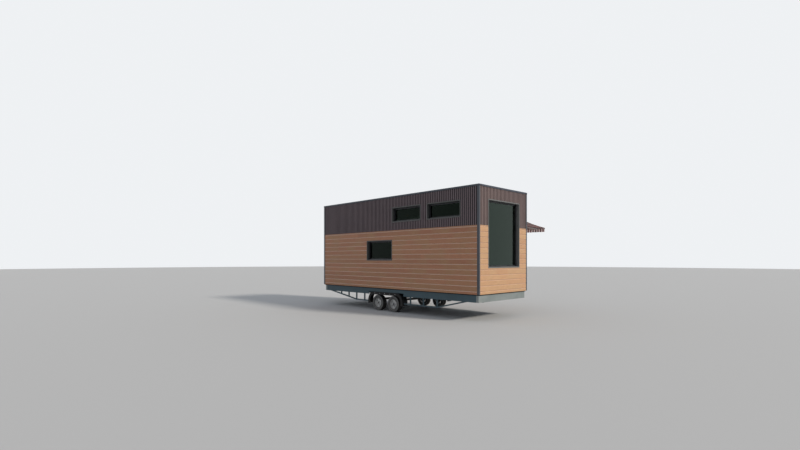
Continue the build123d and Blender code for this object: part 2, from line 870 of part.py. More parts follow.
# Coupling head with a ball socket below and a locking lever above
nose_x = x_tip + head_width / 2
lever_x = nose_x + ball_offset
head_bottom = shank_centre - head_height / 2
head_top = shank_centre + head_height / 2
with BuildPart() as coupling_head:
    with BuildSketch(Plane.XY.offset(head_bottom)):
        with Locations((nose_x, y_mid)):
            Circle(head_width / 2)
        with Locations((head_back - head_sleeve / 2, y_mid)):
            Rectangle(head_sleeve, shank_width)
        make_hull()
    extrude(amount=head_height)
    fillet(coupling_head.faces().sort_by(Axis.Z)[-1].edges(), radius=head_corner)
    with Locations((nose_x + ball_offset, y_mid, head_bottom + ball_depth)):
        Sphere(ball_radius, mode=Mode.SUBTRACT)
    with BuildSketch(Plane((0, y_mid, 0), x_dir=(1, 0, 0), z_dir=(0, -1, 0))):
        with BuildLine():
            Polyline(
                (lever_x, head_top - lever_sink),
                (lever_x + lever_thickness, head_top + lever_rise - 2 * lever_thickness),
                (nose_x + lever_length, head_top + lever_rise),
                (nose_x + lever_length, head_top + lever_rise - lever_thickness),
                (lever_x + 2 * lever_thickness, head_top + lever_thickness),
                (lever_x + lever_foot, head_top - lever_sink),
                close=True,
            )
        make_face()
    extrude(amount=lever_width / 2, both=True)
keep(coupling_head, "coupling_head")
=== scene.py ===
import math
from functools import partialmethod

import bmesh
import bpy
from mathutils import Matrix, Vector


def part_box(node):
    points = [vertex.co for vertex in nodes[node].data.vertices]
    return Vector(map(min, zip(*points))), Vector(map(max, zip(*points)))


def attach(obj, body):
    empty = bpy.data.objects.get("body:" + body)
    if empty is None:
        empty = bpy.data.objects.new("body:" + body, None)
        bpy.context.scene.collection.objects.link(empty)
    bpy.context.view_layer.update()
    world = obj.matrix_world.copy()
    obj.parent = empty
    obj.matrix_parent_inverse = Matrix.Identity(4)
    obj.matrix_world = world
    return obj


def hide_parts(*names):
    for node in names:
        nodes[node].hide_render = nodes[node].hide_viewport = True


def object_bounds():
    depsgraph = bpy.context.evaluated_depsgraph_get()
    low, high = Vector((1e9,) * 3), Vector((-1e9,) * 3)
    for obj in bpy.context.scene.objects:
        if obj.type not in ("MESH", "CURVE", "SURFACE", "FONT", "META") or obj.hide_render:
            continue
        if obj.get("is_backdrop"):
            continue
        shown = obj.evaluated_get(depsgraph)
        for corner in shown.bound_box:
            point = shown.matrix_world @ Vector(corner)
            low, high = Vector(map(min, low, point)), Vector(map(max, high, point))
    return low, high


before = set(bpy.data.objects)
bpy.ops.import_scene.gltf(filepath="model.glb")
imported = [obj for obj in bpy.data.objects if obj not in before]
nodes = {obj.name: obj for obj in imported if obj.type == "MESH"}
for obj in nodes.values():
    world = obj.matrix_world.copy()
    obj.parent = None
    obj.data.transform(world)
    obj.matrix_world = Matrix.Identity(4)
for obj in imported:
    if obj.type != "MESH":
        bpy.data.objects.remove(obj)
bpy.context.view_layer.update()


# Studio: a wide pale floor and an even pale sky, with one soft sun from behind the far rear corner,
# so that the rear end wall is lit and the long window side stands in open shade.
def feed(socket, value):
    """Links a signal to a socket, or gives the socket a plain number, vector or colour."""
    if isinstance(value, Signal):
        value.tree.links.new(value.socket, socket)
    else:
        socket.default_value = (*value, 1) if socket.type == "RGBA" else value


def feed_all(node, values):
    """Feeds each of these values to the node's input of that name or number."""
    for name, value in values.items():
        feed(node.inputs[name], value)


class Signal:
    """A value, vector or colour in a node tree. Arithmetic on it adds Math nodes to the tree."""

    def __init__(self, tree, socket):
        self.tree, self.socket = tree, socket

    def through(self, kind, output, inputs, **settings):
        """One output of a new node with these inputs, or all of its outputs by name."""
        node = self.tree.nodes.new(f"ShaderNode{kind}")
        for setting, value in settings.items():
            setattr(node, setting, value)
        feed_all(node, inputs)
        if output is None:
            return {made.name: Signal(self.tree, made) for made in node.outputs}
        return Signal(self.tree, node.outputs[output])

    def math(self, operation, second=0.0):
        """The result of a Math node on this value and a second one."""
        return self.through("Math", 0, {0: self, 1: second}, operation=operation)

    __add__, __sub__ = partialmethod(math, "ADD"), partialmethod(math, "SUBTRACT")
    __mul__, __truediv__ = partialmethod(math, "MULTIPLY"), partialmethod(math, "DIVIDE")
    __mod__, __gt__ = partialmethod(math, "MODULO"), partialmethod(math, "GREATER_THAN")
    __abs__ = partialmethod(math, "ABSOLUTE")

    def __rsub__(self, other):
        return self.through("Math", 0, {0: other, 1: self}, operation="SUBTRACT")

    def axes(self):
        """The x, y and z values of a vector."""
        return list(self.through("SeparateXYZ", None, {0: self}).values())

    def scaled(self, scale):
        """The vector scaled by its own amount along each axis."""
        return self.through("VectorMath", 0, {0: self, 1: scale}, operation="MULTIPLY")

    def noise(self, scale, detail=4.0, roughness=0.55):
        """Noise at this place."""
        inputs = {"Vector": self, "Scale": scale, "Detail": detail, "Roughness": roughness}
        return self.through("TexNoise", "Fac", inputs)

    def random(self):
        """A random value for each number."""
        return self.through("TexWhiteNoise", "Value", {"W": self}, noise_dimensions="1D")

    def remap(self, low, high, out_low=0.0, out_high=1.0):
        """Stretched from one range to another, smoothly and held at both ends."""
        ranges = {"From Min": low, "From Max": high, "To Min": out_low, "To Max": out_high}
        return self.through("MapRange", "Result", {"Value": self, **ranges}, interpolation_type="SMOOTHSTEP")

    def blend(self, first, second):
        """Two colours mixed by this share, through the colour sockets of a Mix node."""
        return self.through("Mix", 2, {0: self, 6: first, 7: second}, data_type="RGBA")

    def bump(self, strength, distance):
        """A bump normal from this height."""
        return self.through("Bump", "Normal", {"Strength": strength, "Distance": distance, "Height": self})


def primitive(add, **settings):
    """Adds a primitive with nothing else selected."""
    bpy.ops.object.select_all(action="DESELECT")
    add(**settings)
    return bpy.context.object


studio_floor = primitive(bpy.ops.mesh.primitive_circle_add, vertices=96, radius=90, fill_type="NGON")
studio_floor.name = "studio_floor"
floor_paint = bpy.data.materials.new("studio_floor")
floor_paint.use_nodes = True
feed_all(floor_paint.node_tree.nodes["Principled BSDF"], {"Base Color": (0.46, 0.46, 0.455), "Roughness": 0.9})
studio_floor.data.materials.append(floor_paint)
studio_floor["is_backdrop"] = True

sky = bpy.data.worlds.new("studio_sky")
bpy.context.scene.world = sky
sky.use_nodes = True
sky_nodes = sky.node_tree.nodes
sky_nodes.clear()
rays = sky_nodes.new("ShaderNodeLightPath").outputs
seen = Signal(sky.node_tree, rays["Is Camera Ray"])
for ray in ("Is Glossy Ray", "Is Transmission Ray"):
    seen = seen.math("MAXIMUM", Signal(sky.node_tree, rays[ray]))
sky_light = seen.through("Background", 0, {"Color": (0.84, 0.90, 1.0), "Strength": 0.56})
sky_seen = seen.through("Background", 0, {"Color": (0.86, 0.88, 0.90), "Strength": 1.0})
sky_mix = seen.through("MixShader", 0, {0: seen, 1: sky_light, 2: sky_seen})
feed(sky_nodes.new("ShaderNodeOutputWorld").inputs["Surface"], sky_mix)

sun_direction = Vector((1.0, 0.28, 0.62))
bpy.ops.object.light_add(type="SUN", location=(12, 4, 9))
sun = bpy.context.object
sun.data.energy = 2.9
sun.data.angle = math.radians(9)
sun.data.color = (1.0, 0.93, 0.84)
sun.rotation_euler = sun_direction.to_track_quat("Z", "Y").to_euler()

# Camera: level, at standing height off the near rear corner, with the photograph's wide lens.
# The lens is shifted a little instead of tilted, so upright edges stay upright.
house_low, house_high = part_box("corner_trims")
camera_data = bpy.data.cameras.new("camera")
camera = bpy.data.objects.new("camera", camera_data)
bpy.context.collection.objects.link(camera)
camera.location = (house_high[0] + 7.178, house_low[1] - 9.969, 1.745)
camera.rotation_euler = (math.radians(90), 0, math.radians(45.82))
camera_data.sensor_width = 36
camera_data.lens = 20.06
camera_data.shift_y = 0.0424
camera_data.clip_end = 400
bpy.context.scene.camera = camera
bpy.context.scene.view_settings.view_transform = "Standard"


# Chassis: folded side and end rails, cross members, bearers, lattice girders and drawbar, welded up and
# coated blue-grey, with road dust towards the ground and small scuffs in the paint. The one coat is given
# two tones by where light falls: dark teal as painted shade on the side rails and the rest, and pale grey
# as painted sunlight on the end rails and the drawbar plates.
def effect_group(name, inputs, outputs):
    """A shader node group, its inputs as signals and its output node.

    An input without a value of its own is a vector, and the others are numbers.
    """
    group = bpy.data.node_groups.new(name, "ShaderNodeTree")
    for socket, value in inputs.items():
        kind = "NodeSocketVector" if value is None else "NodeSocketFloat"
        made = group.interface.new_socket(name=socket, in_out="INPUT", socket_type=kind)
        if value is not None:
            made.default_value = value
    for socket in outputs:
        group.interface.new_socket(name=socket, in_out="OUTPUT", socket_type="NodeSocketFloat")
    given = group.nodes.new("NodeGroupInput")
    return group, [Signal(group, given.outputs[socket]) for socket in inputs], group.nodes.new("NodeGroupOutput")


# The weathering group gives road dust that thins with height, soft patches, rain streaks and small scuffs.
weather, (weather_place, dust_reach, patch_scale), weather_out = effect_group(
    "weathering", {"Vector": None, "Dust Height": 0.9, "Patch Scale": 3.0}, ("Dust", "Patches", "Streaks", "Scuffs")
)
lowness = 1.0 - weather_place.axes()[2] / dust_reach
feed_all(weather_out, {
    "Dust": lowness.remap(0.0, 1.0) * weather_place.noise(14.0, 6.0, 0.65).remap(0.3, 0.75),
    "Patches": weather_place.noise(patch_scale).remap(0.3, 0.7),
    "Streaks": weather_place.scaled((18.0, 18.0, 0.9)).noise(1.0, 3.0).remap(0.5, 0.75),
    "Scuffs": weather_place.noise(90.0, 3.0, 0.7).remap(0.64, 0.72),
})


def weathered(place, dust_height, patches):
    """The masks of the weathering group at this place."""
    inputs = {"Vector": place, "Dust Height": dust_height, "Patch Scale": patches}
    return place.through("Group", None, inputs, node_tree=weather)


def new_material(name):
    """A new material with its shader and its place in Object coordinates."""
    material = bpy.data.materials.new(name)
    material.use_nodes = True
    tree = material.node_tree
    place = Signal(tree, tree.nodes.new("ShaderNodeTexCoord").outputs["Object"])
    return material, tree.nodes["Principled BSDF"], place


def coated_metal(
    name, colour, shade, roughness, metallic=0.0, dust=0.0, dust_height=0.9, streak=0.0, tone=None, gloss=0.5
):
    """Coated metal: two close tones in soft patches, rain streaks, dust low down, scuffs and an orange peel.

    A tone function may tint the coat by its place before the dust settles on it.
    """
    material, shader, place = new_material(name)
    wear = weathered(place, dust_height, 2.2)
    base = wear["Patches"].blend(colour, shade)
    if tone:
        base = tone(place, base)
    base = (wear["Streaks"] * streak).blend(base, [0.72 * channel for channel in colour])
    base = (wear["Scuffs"] * 0.35).blend(base, [min(1.0, 1.9 * channel + 0.03) for channel in colour])
    base = (wear["Dust"] * dust).blend(base, (0.30, 0.26, 0.21))
    rough = wear["Patches"].remap(0.0, 1.0, roughness - 0.05, roughness + 0.07)
    feed_all(shader, {
        "Base Color": base,
        "Roughness": rough + wear["Dust"] * (0.25 * dust),
        "Metallic": metallic,
        "Specular IOR Level": gloss,
        "Normal": place.noise(420.0, 2.0).bump(0.08, 0.0008),
    })
    return material


def paint(material, *names):
    """Gives CAD nodes a finish."""
    for name in names:
        mesh = nodes[name].data
        mesh.materials.clear()
        mesh.materials.append(material)


def select_only(*pieces):
    """Selects these pieces alone, with the first one active."""
    bpy.ops.object.select_all(action="DESELECT")
    for piece in pieces:
        piece.select_set(True)
    bpy.context.view_layer.objects.active = pieces[0]


def finished(piece, material, smooth=None, body="house"):
    """Gives a new piece its finish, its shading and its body."""
    piece.data.materials.clear()
    piece.data.materials.append(material)
    if smooth is not None:
        select_only(piece)
        bpy.ops.object.shade_smooth_by_angle(angle=math.radians(smooth))
    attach(piece, body)


def opened(piece):
    """Opens one piece in edit mode with all of its mesh selected."""
    select_only(piece)
    bpy.ops.object.mode_set(mode="EDIT")
    bpy.ops.mesh.select_all(action="SELECT")


def closed():
    """Leaves edit mode."""
    bpy.ops.object.mode_set(mode="OBJECT")


def select_parts(kind, test):
    """In edit mode, selects only the faces or edges whose middle and normal or run pass a test."""
    bpy.ops.mesh.select_mode(type=kind)
    bpy.ops.mesh.select_all(action="DESELECT")
    mesh = bpy.context.object.data
    shape = bmesh.from_edit_mesh(mesh)
    if kind == "FACE":
        for face in shape.faces:
            face.select_set(bool(test(face.calc_center_median(), face.normal)))
    else:
        for edge in shape.edges:
            start, end = (corner.co for corner in edge.verts)
            edge.select_set(bool(test((start + end) / 2, (end - start).normalized())))
    bmesh.update_edit_mesh(mesh)


def bevel_edges(offset, segments, test):
    """In edit mode, bevels the edges that pass a test."""
    select_parts("EDGE", test)
    bpy.ops.mesh.bevel(offset=offset, segments=segments, affect="EDGES")


def cylinder(sides, radius, depth, location, rotation=(math.pi / 2, 0, 0)):
    """A cylinder, which lies along Y unless it is turned."""
    return primitive(
        bpy.ops.mesh.primitive_cylinder_add, vertices=sides, radius=radius, depth=depth, location=location,
        rotation=rotation,
    )


def bar(name, low, high, round_over=0.0, segments=2):
    """A bar between two corners with its edges rounded over."""
    piece = primitive(bpy.ops.mesh.primitive_cube_add, size=1)
    piece.name = name
    opened(piece)
    bpy.ops.transform.resize(value=[b - a for a, b in zip(low, high)])
    bpy.ops.transform.translate(value=[(a + b) / 2 for a, b in zip(low, high)])
    if round_over:
        bpy.ops.mesh.bevel(offset=round_over, segments=segments, affect="EDGES")
    closed()
    return piece


def with_modifier(piece, kind, **settings):
    """Adds one modifier with its settings and applies it."""
    select_only(piece)
    modifier = piece.modifiers.new(kind.lower(), kind)
    for setting, value in settings.items():
        setattr(modifier, setting, value)
    bpy.ops.object.modifier_apply(modifier=modifier.name)


def joined(name, parts):
    """Several parts made one piece, with its origin at the frame's origin."""
    select_only(*parts)
    if len(parts) > 1:
        bpy.ops.object.join()
    piece = bpy.context.object
    piece.name = name
    bpy.ops.object.transform_apply(location=True, rotation=True, scale=True)
    return piece


def spread(name, part, places):
    """Copies of one small part, each with its own mesh, at places that give a point and a turn about Z."""
    copies = []
    for point, turn in places:
        copy = part.copy()
        copy.data = part.data.copy()
        bpy.context.collection.objects.link(copy)
        copy.location = point
        copy.rotation_euler = (0, 0, math.radians(turn))
        copies.append(copy)
    bpy.data.objects.remove(part, do_unlink=True)
    return joined(name, copies)


def bolt(name, radius, height, washer, sides=6):
    """A bolt or nut head on its washer, facing -Y, with its foot on y = 0."""
    disc = cylinder(24, washer, height * 0.22, (0, -height * 0.11, 0))
    head = cylinder(sides, radius, height, (0, -height / 2, 0))
    piece = joined(name, [head, disc])
    opened(piece)
    bevel_edges(radius * 0.14, 2, lambda middle, run: middle.y < -height * 0.95)
    closed()
    return piece


# Painted shade and light: one coat, in a shaded tone here and a sunlit tone for the ends
chassis_paint = coated_metal(
    "chassis_paint", (0.038, 0.071, 0.088), (0.050, 0.088, 0.107), 0.45, dust=0.22, dust_height=0.70, streak=0.25,
    gloss=0.35,
)
end_paint = coated_metal(
    "end_paint", (0.180, 0.208, 0.206), (0.225, 0.252, 0.248), 0.40, metallic=0.15, dust=0.4, dust_height=0.75,
    streak=0.25,
)
zinc = coated_metal("zinc_plate", (0.42, 0.43, 0.44), (0.34, 0.35, 0.36), 0.36, metallic=0.9, dust=0.25, streak=0.1)
paint(chassis_paint, "side_rails", "cross_members", "axle_bearers", "lattice_girders")
paint(chassis_paint, "drawbar_arms", "drawbar_shank")
paint(end_paint, "end_rails")
paint(zinc, "coupling_head")

# Weld beads where each lattice post meets the rail above it
middle_x = (house_low[0] + house_high[0]) / 2
middle_y = (house_low[1] + house_high[1]) / 2
rail_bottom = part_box("side_rails")[0][2]
post_half, bead_half = 0.017, 0.004
rear_knee = house_high[0] - 1.58
front_knee = house_low[0] + 1.91
rear_pitch, front_pitch = 0.56, 0.45
post_places = [rear_knee - number * rear_pitch for number in range(3)]
post_places += [front_knee + number * front_pitch for number in range(-2, 2)]
girder_insets = (0.075, 0.115)
girder_lines = [house_low[1] + inset for inset in girder_insets] + [house_high[1] - inset for inset in girder_insets]
bead = bar("bead", (-post_half, -bead_half, -bead_half), (post_half, bead_half, bead_half), 0.003, 3)
bead_places = [((post, line, rail_bottom - 0.001), 0) for post in post_places for line in girder_lines]
finished(spread("post_welds", bead, bead_places), chassis_paint, 40)

# Hex bolts hold the drawbar's end plates to the front rail
plate_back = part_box("end_rails")[0][0]
plate_front = plate_back - 0.012
plate_half, plate_bottom, plate_top = 0.09, 0.555, 0.725
bolt_aside, bolt_inset = 0.07, 0.03
arm_foot = 0.85
plate_lines = (middle_y - arm_foot, middle_y + arm_foot)
plates = [
    bar("plate", (plate_front, line - plate_half, plate_bottom), (plate_back, line + plate_half, plate_top), 0.002)
    for line in plate_lines
]
finished(joined("drawbar_plates", plates), end_paint, 30)
bolt_places = [
    ((plate_front, line + aside, height), -90)
    for line in plate_lines for aside in (-bolt_aside, bolt_aside)
    for height in (plate_bottom + bolt_inset, plate_top - bolt_inset)
]
finished(spread("drawbar_bolts", bolt("bolt", 0.012, 0.011, 0.016), bolt_places), zinc, 30)

# The coupling has a rubber gaiter behind its head and two clamp bolts through its sleeve
head_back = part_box("coupling_head")[1][0]
shank_height = 0.54
gaiter_radius, gaiter_wave, gaiter_pitch = 0.05, 0.006, 0.011
sleeve_half = 0.035
gaiter_rubber = coated_metal("gaiter_rubber", (0.02, 0.02, 0.021), (0.03, 0.03, 0.03), 0.6, dust=0.5, streak=0.1)
gaiter_rings = [
    primitive(
        bpy.ops.mesh.primitive_torus_add, major_segments=40, minor_segments=12,
        major_radius=gaiter_radius + gaiter_wave * (number % 2), minor_radius=0.0085, rotation=(0, math.pi / 2, 0),
        location=(head_back + 0.008 + gaiter_pitch * number, middle_y, shank_height),
    )
    for number in range(9)
]
finished(joined("coupling_gaiter", gaiter_rings), gaiter_rubber, 60)
clamp_places = [
    ((head_back - back, middle_y + out, shank_height), turn)
    for back in (0.012, 0.032) for out, turn in ((-sleeve_half, 0), (sleeve_half, 180))
]
finished(spread("coupling_bolts", bolt("bolt", 0.0085, 0.008, 0.011), clamp_places), zinc, 30)

# Running gear: two black-coated braked axles, each a welded steel beam with a trailing arm at both ends.
# Brackets below the bearers hold them.
axle_paint = coated_metal(
    "axle_paint", (0.016, 0.016, 0.018), (0.028, 0.028, 0.028), 0.5, metallic=0.1, dust=0.45, dust_height=0.6,
    streak=0.1, gloss=0.3,
)
paint(axle_paint, "front_axle", "rear_axle")

# Tyres: black road tyres with four rain grooves, cut shoulder blocks and raised rings on the sidewall.
# Each is drawn as a half section, mirrored and spun round its axle.
tyre_radius = 0.264
tyre_half = 0.0975
tread_half = 0.0815
groove_depth = 0.007
groove_wall = 0.0015
block_cut = 0.005
shoulder_start = 0.053
rib_start, rib_end = 0.022, 0.042
tyre_steps = 144


def tyre_section():
    """Half of the tyre's section, from its bead out to the middle of the tread, as (out, radius) points."""
    points = [(0.070, 0.150), (0.076, 0.155), (0.079, 0.163), (0.085, 0.171), (0.0885, 0.174)]
    points += [(0.0915, 0.183), (0.0965, 0.199), (tyre_half, 0.213), (0.0972, 0.222)]
    points += [(0.0965, 0.2225), (0.0963, 0.2265), (0.0968, 0.2272), (0.0955, 0.240)]
    points += [(0.0935, 0.2475), (0.090, 0.255), (tread_half, 0.2625), (0.076, tyre_radius)]
    for outer, inner in ((0.052, 0.043), (0.021, 0.012)):
        points += [(outer, tyre_radius), (outer - groove_wall, tyre_radius - groove_depth)]
        points += [(inner + groove_wall, tyre_radius - groove_depth), (inner, tyre_radius)]
    return points


def tyre(name, centre):
    """A tyre spun round an axle along Y, with its shoulder blocks and inner rib cut through."""
    half = tyre_section()
    section = half + [(-out, radius) for out, radius in reversed(half)]
    mesh = bpy.data.meshes.new(name)
    corners = [(0, out, radius) for out, radius in section]
    mesh.from_pydata(corners, [(corner, corner + 1) for corner in range(len(section) - 1)], [])
    piece = bpy.data.objects.new(name, mesh)
    bpy.context.collection.objects.link(piece)
    opened(piece)
    bpy.ops.mesh.spin(steps=tyre_steps, angle=2 * math.pi, center=(0, 0, 0), axis=(0, 1, 0))
    bpy.ops.mesh.select_all(action="SELECT")
    bpy.ops.mesh.remove_doubles(threshold=0.0002)
    bpy.ops.mesh.normals_make_consistent(inside=False)

    def cut_face(middle, normal):
        step = round(math.degrees(math.atan2(middle.x, middle.z)) / (360 / tyre_steps) - 0.5)
        radius = math.hypot(middle.x, middle.z)
        shoulder = abs(middle.y) > shoulder_start and radius > 0.256
        rib = rib_start < abs(middle.y) < rib_end and radius > 0.26
        return (shoulder and step % 4 == 0) or (rib and step % 4 == 2)

    select_parts("FACE", cut_face)
    bpy.ops.mesh.extrude_region_shrink_fatten(TRANSFORM_OT_shrink_fatten={"value": -block_cut})
    bpy.ops.mesh.select_all(action="SELECT")
    bpy.ops.transform.translate(value=centre)
    closed()
    return piece


def hub_distance(place):
    """The distance from the nearest hub's axis, for all four wheels at once."""
    across, _, height = place.axes()
    along = abs(across - axles_middle) - axles_half
    rise = height - hub_height
    return (along * along + rise * rise).math("SQRT")


def rubber_tone(place, base):
    """Grey road dust in soft blots on the sidewalls, a pale shoulder ring as painted highlight, and a tread painted
    near black as painted shade.
    """
    base = place.noise(30.0, 5.0).remap(0.35, 0.7, 0.15, 0.6).blend(base, (0.125, 0.123, 0.117))
    # Painted highlight: a paler ring at the shoulder of each tyre
    base = (hub_distance(place).remap(0.232, 0.245) * 0.5).blend(base, (0.20, 0.20, 0.195))
    # Painted shade: the tread is painted near black, for the shade under the mudguard
    from_tyre = abs(abs(place.axes()[1] - middle_y) - tyre_line)
    return from_tyre.remap(tread_half - 0.006, tread_half + 0.006).blend((0.012, 0.012, 0.012), base)


def wheel_tone(place, base):
    """Brake dust round the hub, and the rim's outer part painted a darker grey as painted shade."""
    distance = hub_distance(place)
    base = (distance.remap(0.10, 0.05) * 0.35).blend(base, (0.06, 0.055, 0.05))
    # Painted shade: the rim's outer part, from the well out, is painted a darker grey
    return distance.remap(0.140, 0.152, 0.0, 0.55).blend(base, (0.09, 0.09, 0.088))


front_tyre, rear_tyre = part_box("tyre_left_front"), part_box("tyre_left_rear")
axles_middle = (front_tyre[0][0] + rear_tyre[1][0]) / 2
axles_half = (rear_tyre[0][0] - front_tyre[0][0]) / 2
hub_height = (rear_tyre[0][2] + rear_tyre[1][2]) / 2
tyre_line = middle_y - (rear_tyre[0][1] + rear_tyre[1][1]) / 2
tyre_rubber = coated_metal(
    "tyre_rubber", (0.060, 0.062, 0.062), (0.078, 0.079, 0.077), 0.70, dust=0.25, dust_height=0.6,
    tone=rubber_tone, gloss=0.3,
)
wheel_paint = coated_metal(
    "wheel_paint", (0.56, 0.56, 0.55), (0.66, 0.66, 0.645), 0.34, metallic=0.3, dust=0.2, dust_height=0.6,
    streak=0.1, tone=wheel_tone,
)
cap_paint = coated_metal(
    "hub_cap", (0.05, 0.05, 0.055), (0.07, 0.07, 0.07), 0.45, metallic=0.3, dust=0.5, dust_height=0.6
)
nut_circle, nut_face = 0.063, 0.032
cap_foot, cap_height = 0.052, 0.018
valve_circle, valve_out = 0.134, 0.034


def on_wheel(hub, outboard, circle, degrees, out):
    """A point on a wheel's face, this far out from its middle plane and round a circle from the top."""
    angle = math.radians(degrees)
    return hub + Vector((circle * math.sin(angle), outboard * out, circle * math.cos(angle)))


for side, outboard in (("left", -1), ("right", 1)):
    for end in ("front", "rear"):
        body = f"{side}_{end}_wheel"
        tyre_low, tyre_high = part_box(f"tyre_{side}_{end}")
        hub = Vector([(low + high) / 2 for low, high in zip(tyre_low, tyre_high)])
        piece = tyre(f"road_tyre_{side}_{end}", hub)
        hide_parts(f"tyre_{side}_{end}")
        finished(piece, tyre_rubber, 32, body)
        paint(wheel_paint, f"wheel_{side}_{end}")

        turn = 0 if outboard < 0 else 180
        nut_places = [(on_wheel(hub, outboard, nut_circle, 36 + 72 * nut, nut_face), turn) for nut in range(5)]
        nuts = spread(f"wheel_nuts_{side}_{end}", bolt("nut", 0.0098, 0.015, 0.0125), nut_places)
        finished(nuts, zinc, 30, body)

        cap_middle = on_wheel(hub, outboard, 0, 0, cap_foot + cap_height / 2)
        cap = joined(f"hub_cap_{side}_{end}", [cylinder(48, 0.029, cap_height, cap_middle)])
        opened(cap)
        cap_face = hub.y + outboard * (cap_foot + cap_height)
        bevel_edges(0.007, 5, lambda middle, run: abs(middle.y - cap_face) < 0.001)
        closed()
        finished(cap, cap_paint, 40, body)

        valve = primitive(
            bpy.ops.mesh.primitive_cone_add, vertices=20, radius1=0.0055, radius2=0.0038, depth=0.034,
            rotation=(-outboard * math.pi / 2, 0, 0), location=on_wheel(hub, outboard, valve_circle, 36, valve_out),
        )
        finished(joined(f"valve_{side}_{end}", [valve]), cap_paint, 40, body)

# Mudguards: one rolled steel sheet over both wheels of a side, coated black, with a deep folded face.
# Zinc-plated dome bolts through the face hold it.
guard_paint = coated_metal(
    "guard_paint", (0.006, 0.006, 0.007), (0.010, 0.010, 0.011), 0.45, dust=0.15, dust_height=0.62, streak=0.1,
    gloss=0.2,
)
paint(guard_paint, "mudguards")
guard_low, guard_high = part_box("mudguards")
guard_middle = (guard_low[0] + guard_high[0]) / 2
guard_bolt_height = guard_high[2] - 0.048
guard_bolt_pitch = 0.25
guard_bolt_places = [
    ((guard_middle + number * guard_bolt_pitch, face, guard_bolt_height), turn)
    for number in range(-2, 3) for face, turn in ((guard_low[1], 0), (guard_high[1], 180))
]
guard_bolts = spread("guard_bolts", bolt("bolt", 0.0085, 0.0055, 0.0125, 16), guard_bolt_places)
finished(guard_bolts, zinc, 40)

# Floor: a planked deck inside, on a deck coated near black, painted shade that shows as a shadow line below the
# cladding.
# The walls are lined with pale tongued boards.
inner_pitch = 0.12
floor_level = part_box("floor_deck")[1][2]


def plank_lines(across, pitch, gap):
    """A mask that is 1 in the gaps between planks laid at this pitch."""
    from_middle = abs((across / pitch).math("FRACT") - 0.5)
    return from_middle.remap(0.5 - gap / pitch, 0.5 - 0.3 * gap / pitch)


# The grain group gives long wood fibres, dark rings and rare knots along the first axis of its vector.
grain, (grain_place, grain_board), grain_out = effect_group(
    "wood_grain", {"Vector": None, "Board": 0.0}, ("Fibre", "Rings", "Knots")
)
board_shift = {"X": grain_board * 37.0, "Y": grain_board * 11.0, "Z": grain_board * 23.0}
grain_shift = grain_board.through("CombineXYZ", 0, board_shift)
grain_place = grain_place.through("VectorMath", 0, {0: grain_place, 1: grain_shift}, operation="ADD")
knot_cells = grain_place.through("TexVoronoi", None, {"Vector": grain_place.scaled((2.4, 4.0, 4.0)), "Scale": 1.0})
knot_pick = grain_place.through("SeparateColor", 0, {0: knot_cells["Color"]})
feed_all(grain_out, {
    "Fibre": grain_place.scaled((6.0, 260.0, 260.0)).noise(1.0, 4.0, 0.6),
    "Rings": (grain_place.scaled((0.9, 16.0, 16.0)).noise(1.0, 2.0, 0.5) * 60.0).math("SINE").remap(-1.0, 1.0),
    "Knots": knot_cells["Distance"].remap(0.062, 0.040) * (knot_pick > 0.45),
})


def grained(place, along, board):
    """The masks of the wood grain along X or along Y, shifted by each board's own number."""
    turn = (0, 0, 0 if along == "X" else -math.pi / 2)
    turned = place.through("Mapping", 0, {"Vector": place, "Rotation": turn})
    return turned.through("Group", None, {"Vector": turned, "Board": board}, node_tree=grain)


def planked(name, colour, shade, across, along, roughness):
    """Planks laid side by side, each in its own tone, with dark gaps between them."""
    material, shader, place = new_material(name)
    position = place.axes()["XYZ".index(across)]
    board = (position / inner_pitch).math("FLOOR").random()
    wood = grained(place, along, board)
    gaps = plank_lines(position, inner_pitch, 0.003)
    base = board.blend(colour, shade)
    base = (wood["Rings"] * 0.28).blend(base, [0.7 * channel for channel in shade])
    base = (wood["Knots"] * 0.5).blend(base, (0.10, 0.05, 0.02))
    feed_all(shader, {
        "Base Color": gaps.blend(base, (0.03, 0.02, 0.012)),
        "Roughness": wood["Fibre"].remap(0.2, 0.8, roughness - 0.06, roughness + 0.1),
        "Normal": (wood["Fibre"] * 0.15 - gaps).bump(0.6, 0.0015),
    })
    return material


floor_wood = planked("floor_wood", (0.34, 0.19, 0.095), (0.26, 0.14, 0.07), "Y", "X", 0.42)
lining_tones = (0.50, 0.36, 0.22), (0.42, 0.29, 0.17)
paint(planked("lining_wood", *lining_tones, "Z", "X", 0.5), "left_wall", "right_wall")
paint(planked("lining_end_wood", *lining_tones, "Z", "Y", 0.5), "rear_wall", "front_wall")
# Painted shade: the deck is near black so that its edge reads as the shadow line below the cladding
shadow_line_coat = coated_metal(
    "black_underlay", (0.008, 0.008, 0.009), (0.012, 0.012, 0.012), 0.7, dust=0.1, dust_height=0.7, gloss=0.2
)
paint(shadow_line_coat, "floor_deck")

wall_inside = 0.153
plank_depth = 0.010
plank_gap = 0.0006
plank_end = 0.004
room_low_y, room_high_y = house_low[1] + wall_inside, house_high[1] - wall_inside
plank_count = round((room_high_y - room_low_y) / inner_pitch)
plank_width = (room_high_y - room_low_y) / plank_count
floor_planks = bar(
    "floor_planks", (house_low[0] + wall_inside + plank_end, room_low_y + plank_gap, floor_level),
    (house_high[0] - wall_inside - plank_end, room_low_y + plank_width - plank_gap, floor_level + plank_depth),
)
opened(floor_planks)
bevel_edges(0.0015, 2, lambda middle, run: middle.z > floor_level + plank_depth - 0.001 and abs(run.x) > 0.9)
closed()


def repeated(piece, count, step):
    """The piece repeated at equal steps."""
    offset = {"use_relative_offset": False, "use_constant_offset": True, "constant_offset_displace": step}
    with_modifier(piece, "ARRAY", count=count, **offset)


repeated(floor_planks, plank_count, (0, plank_width, 0))
finished(floor_planks, floor_wood)

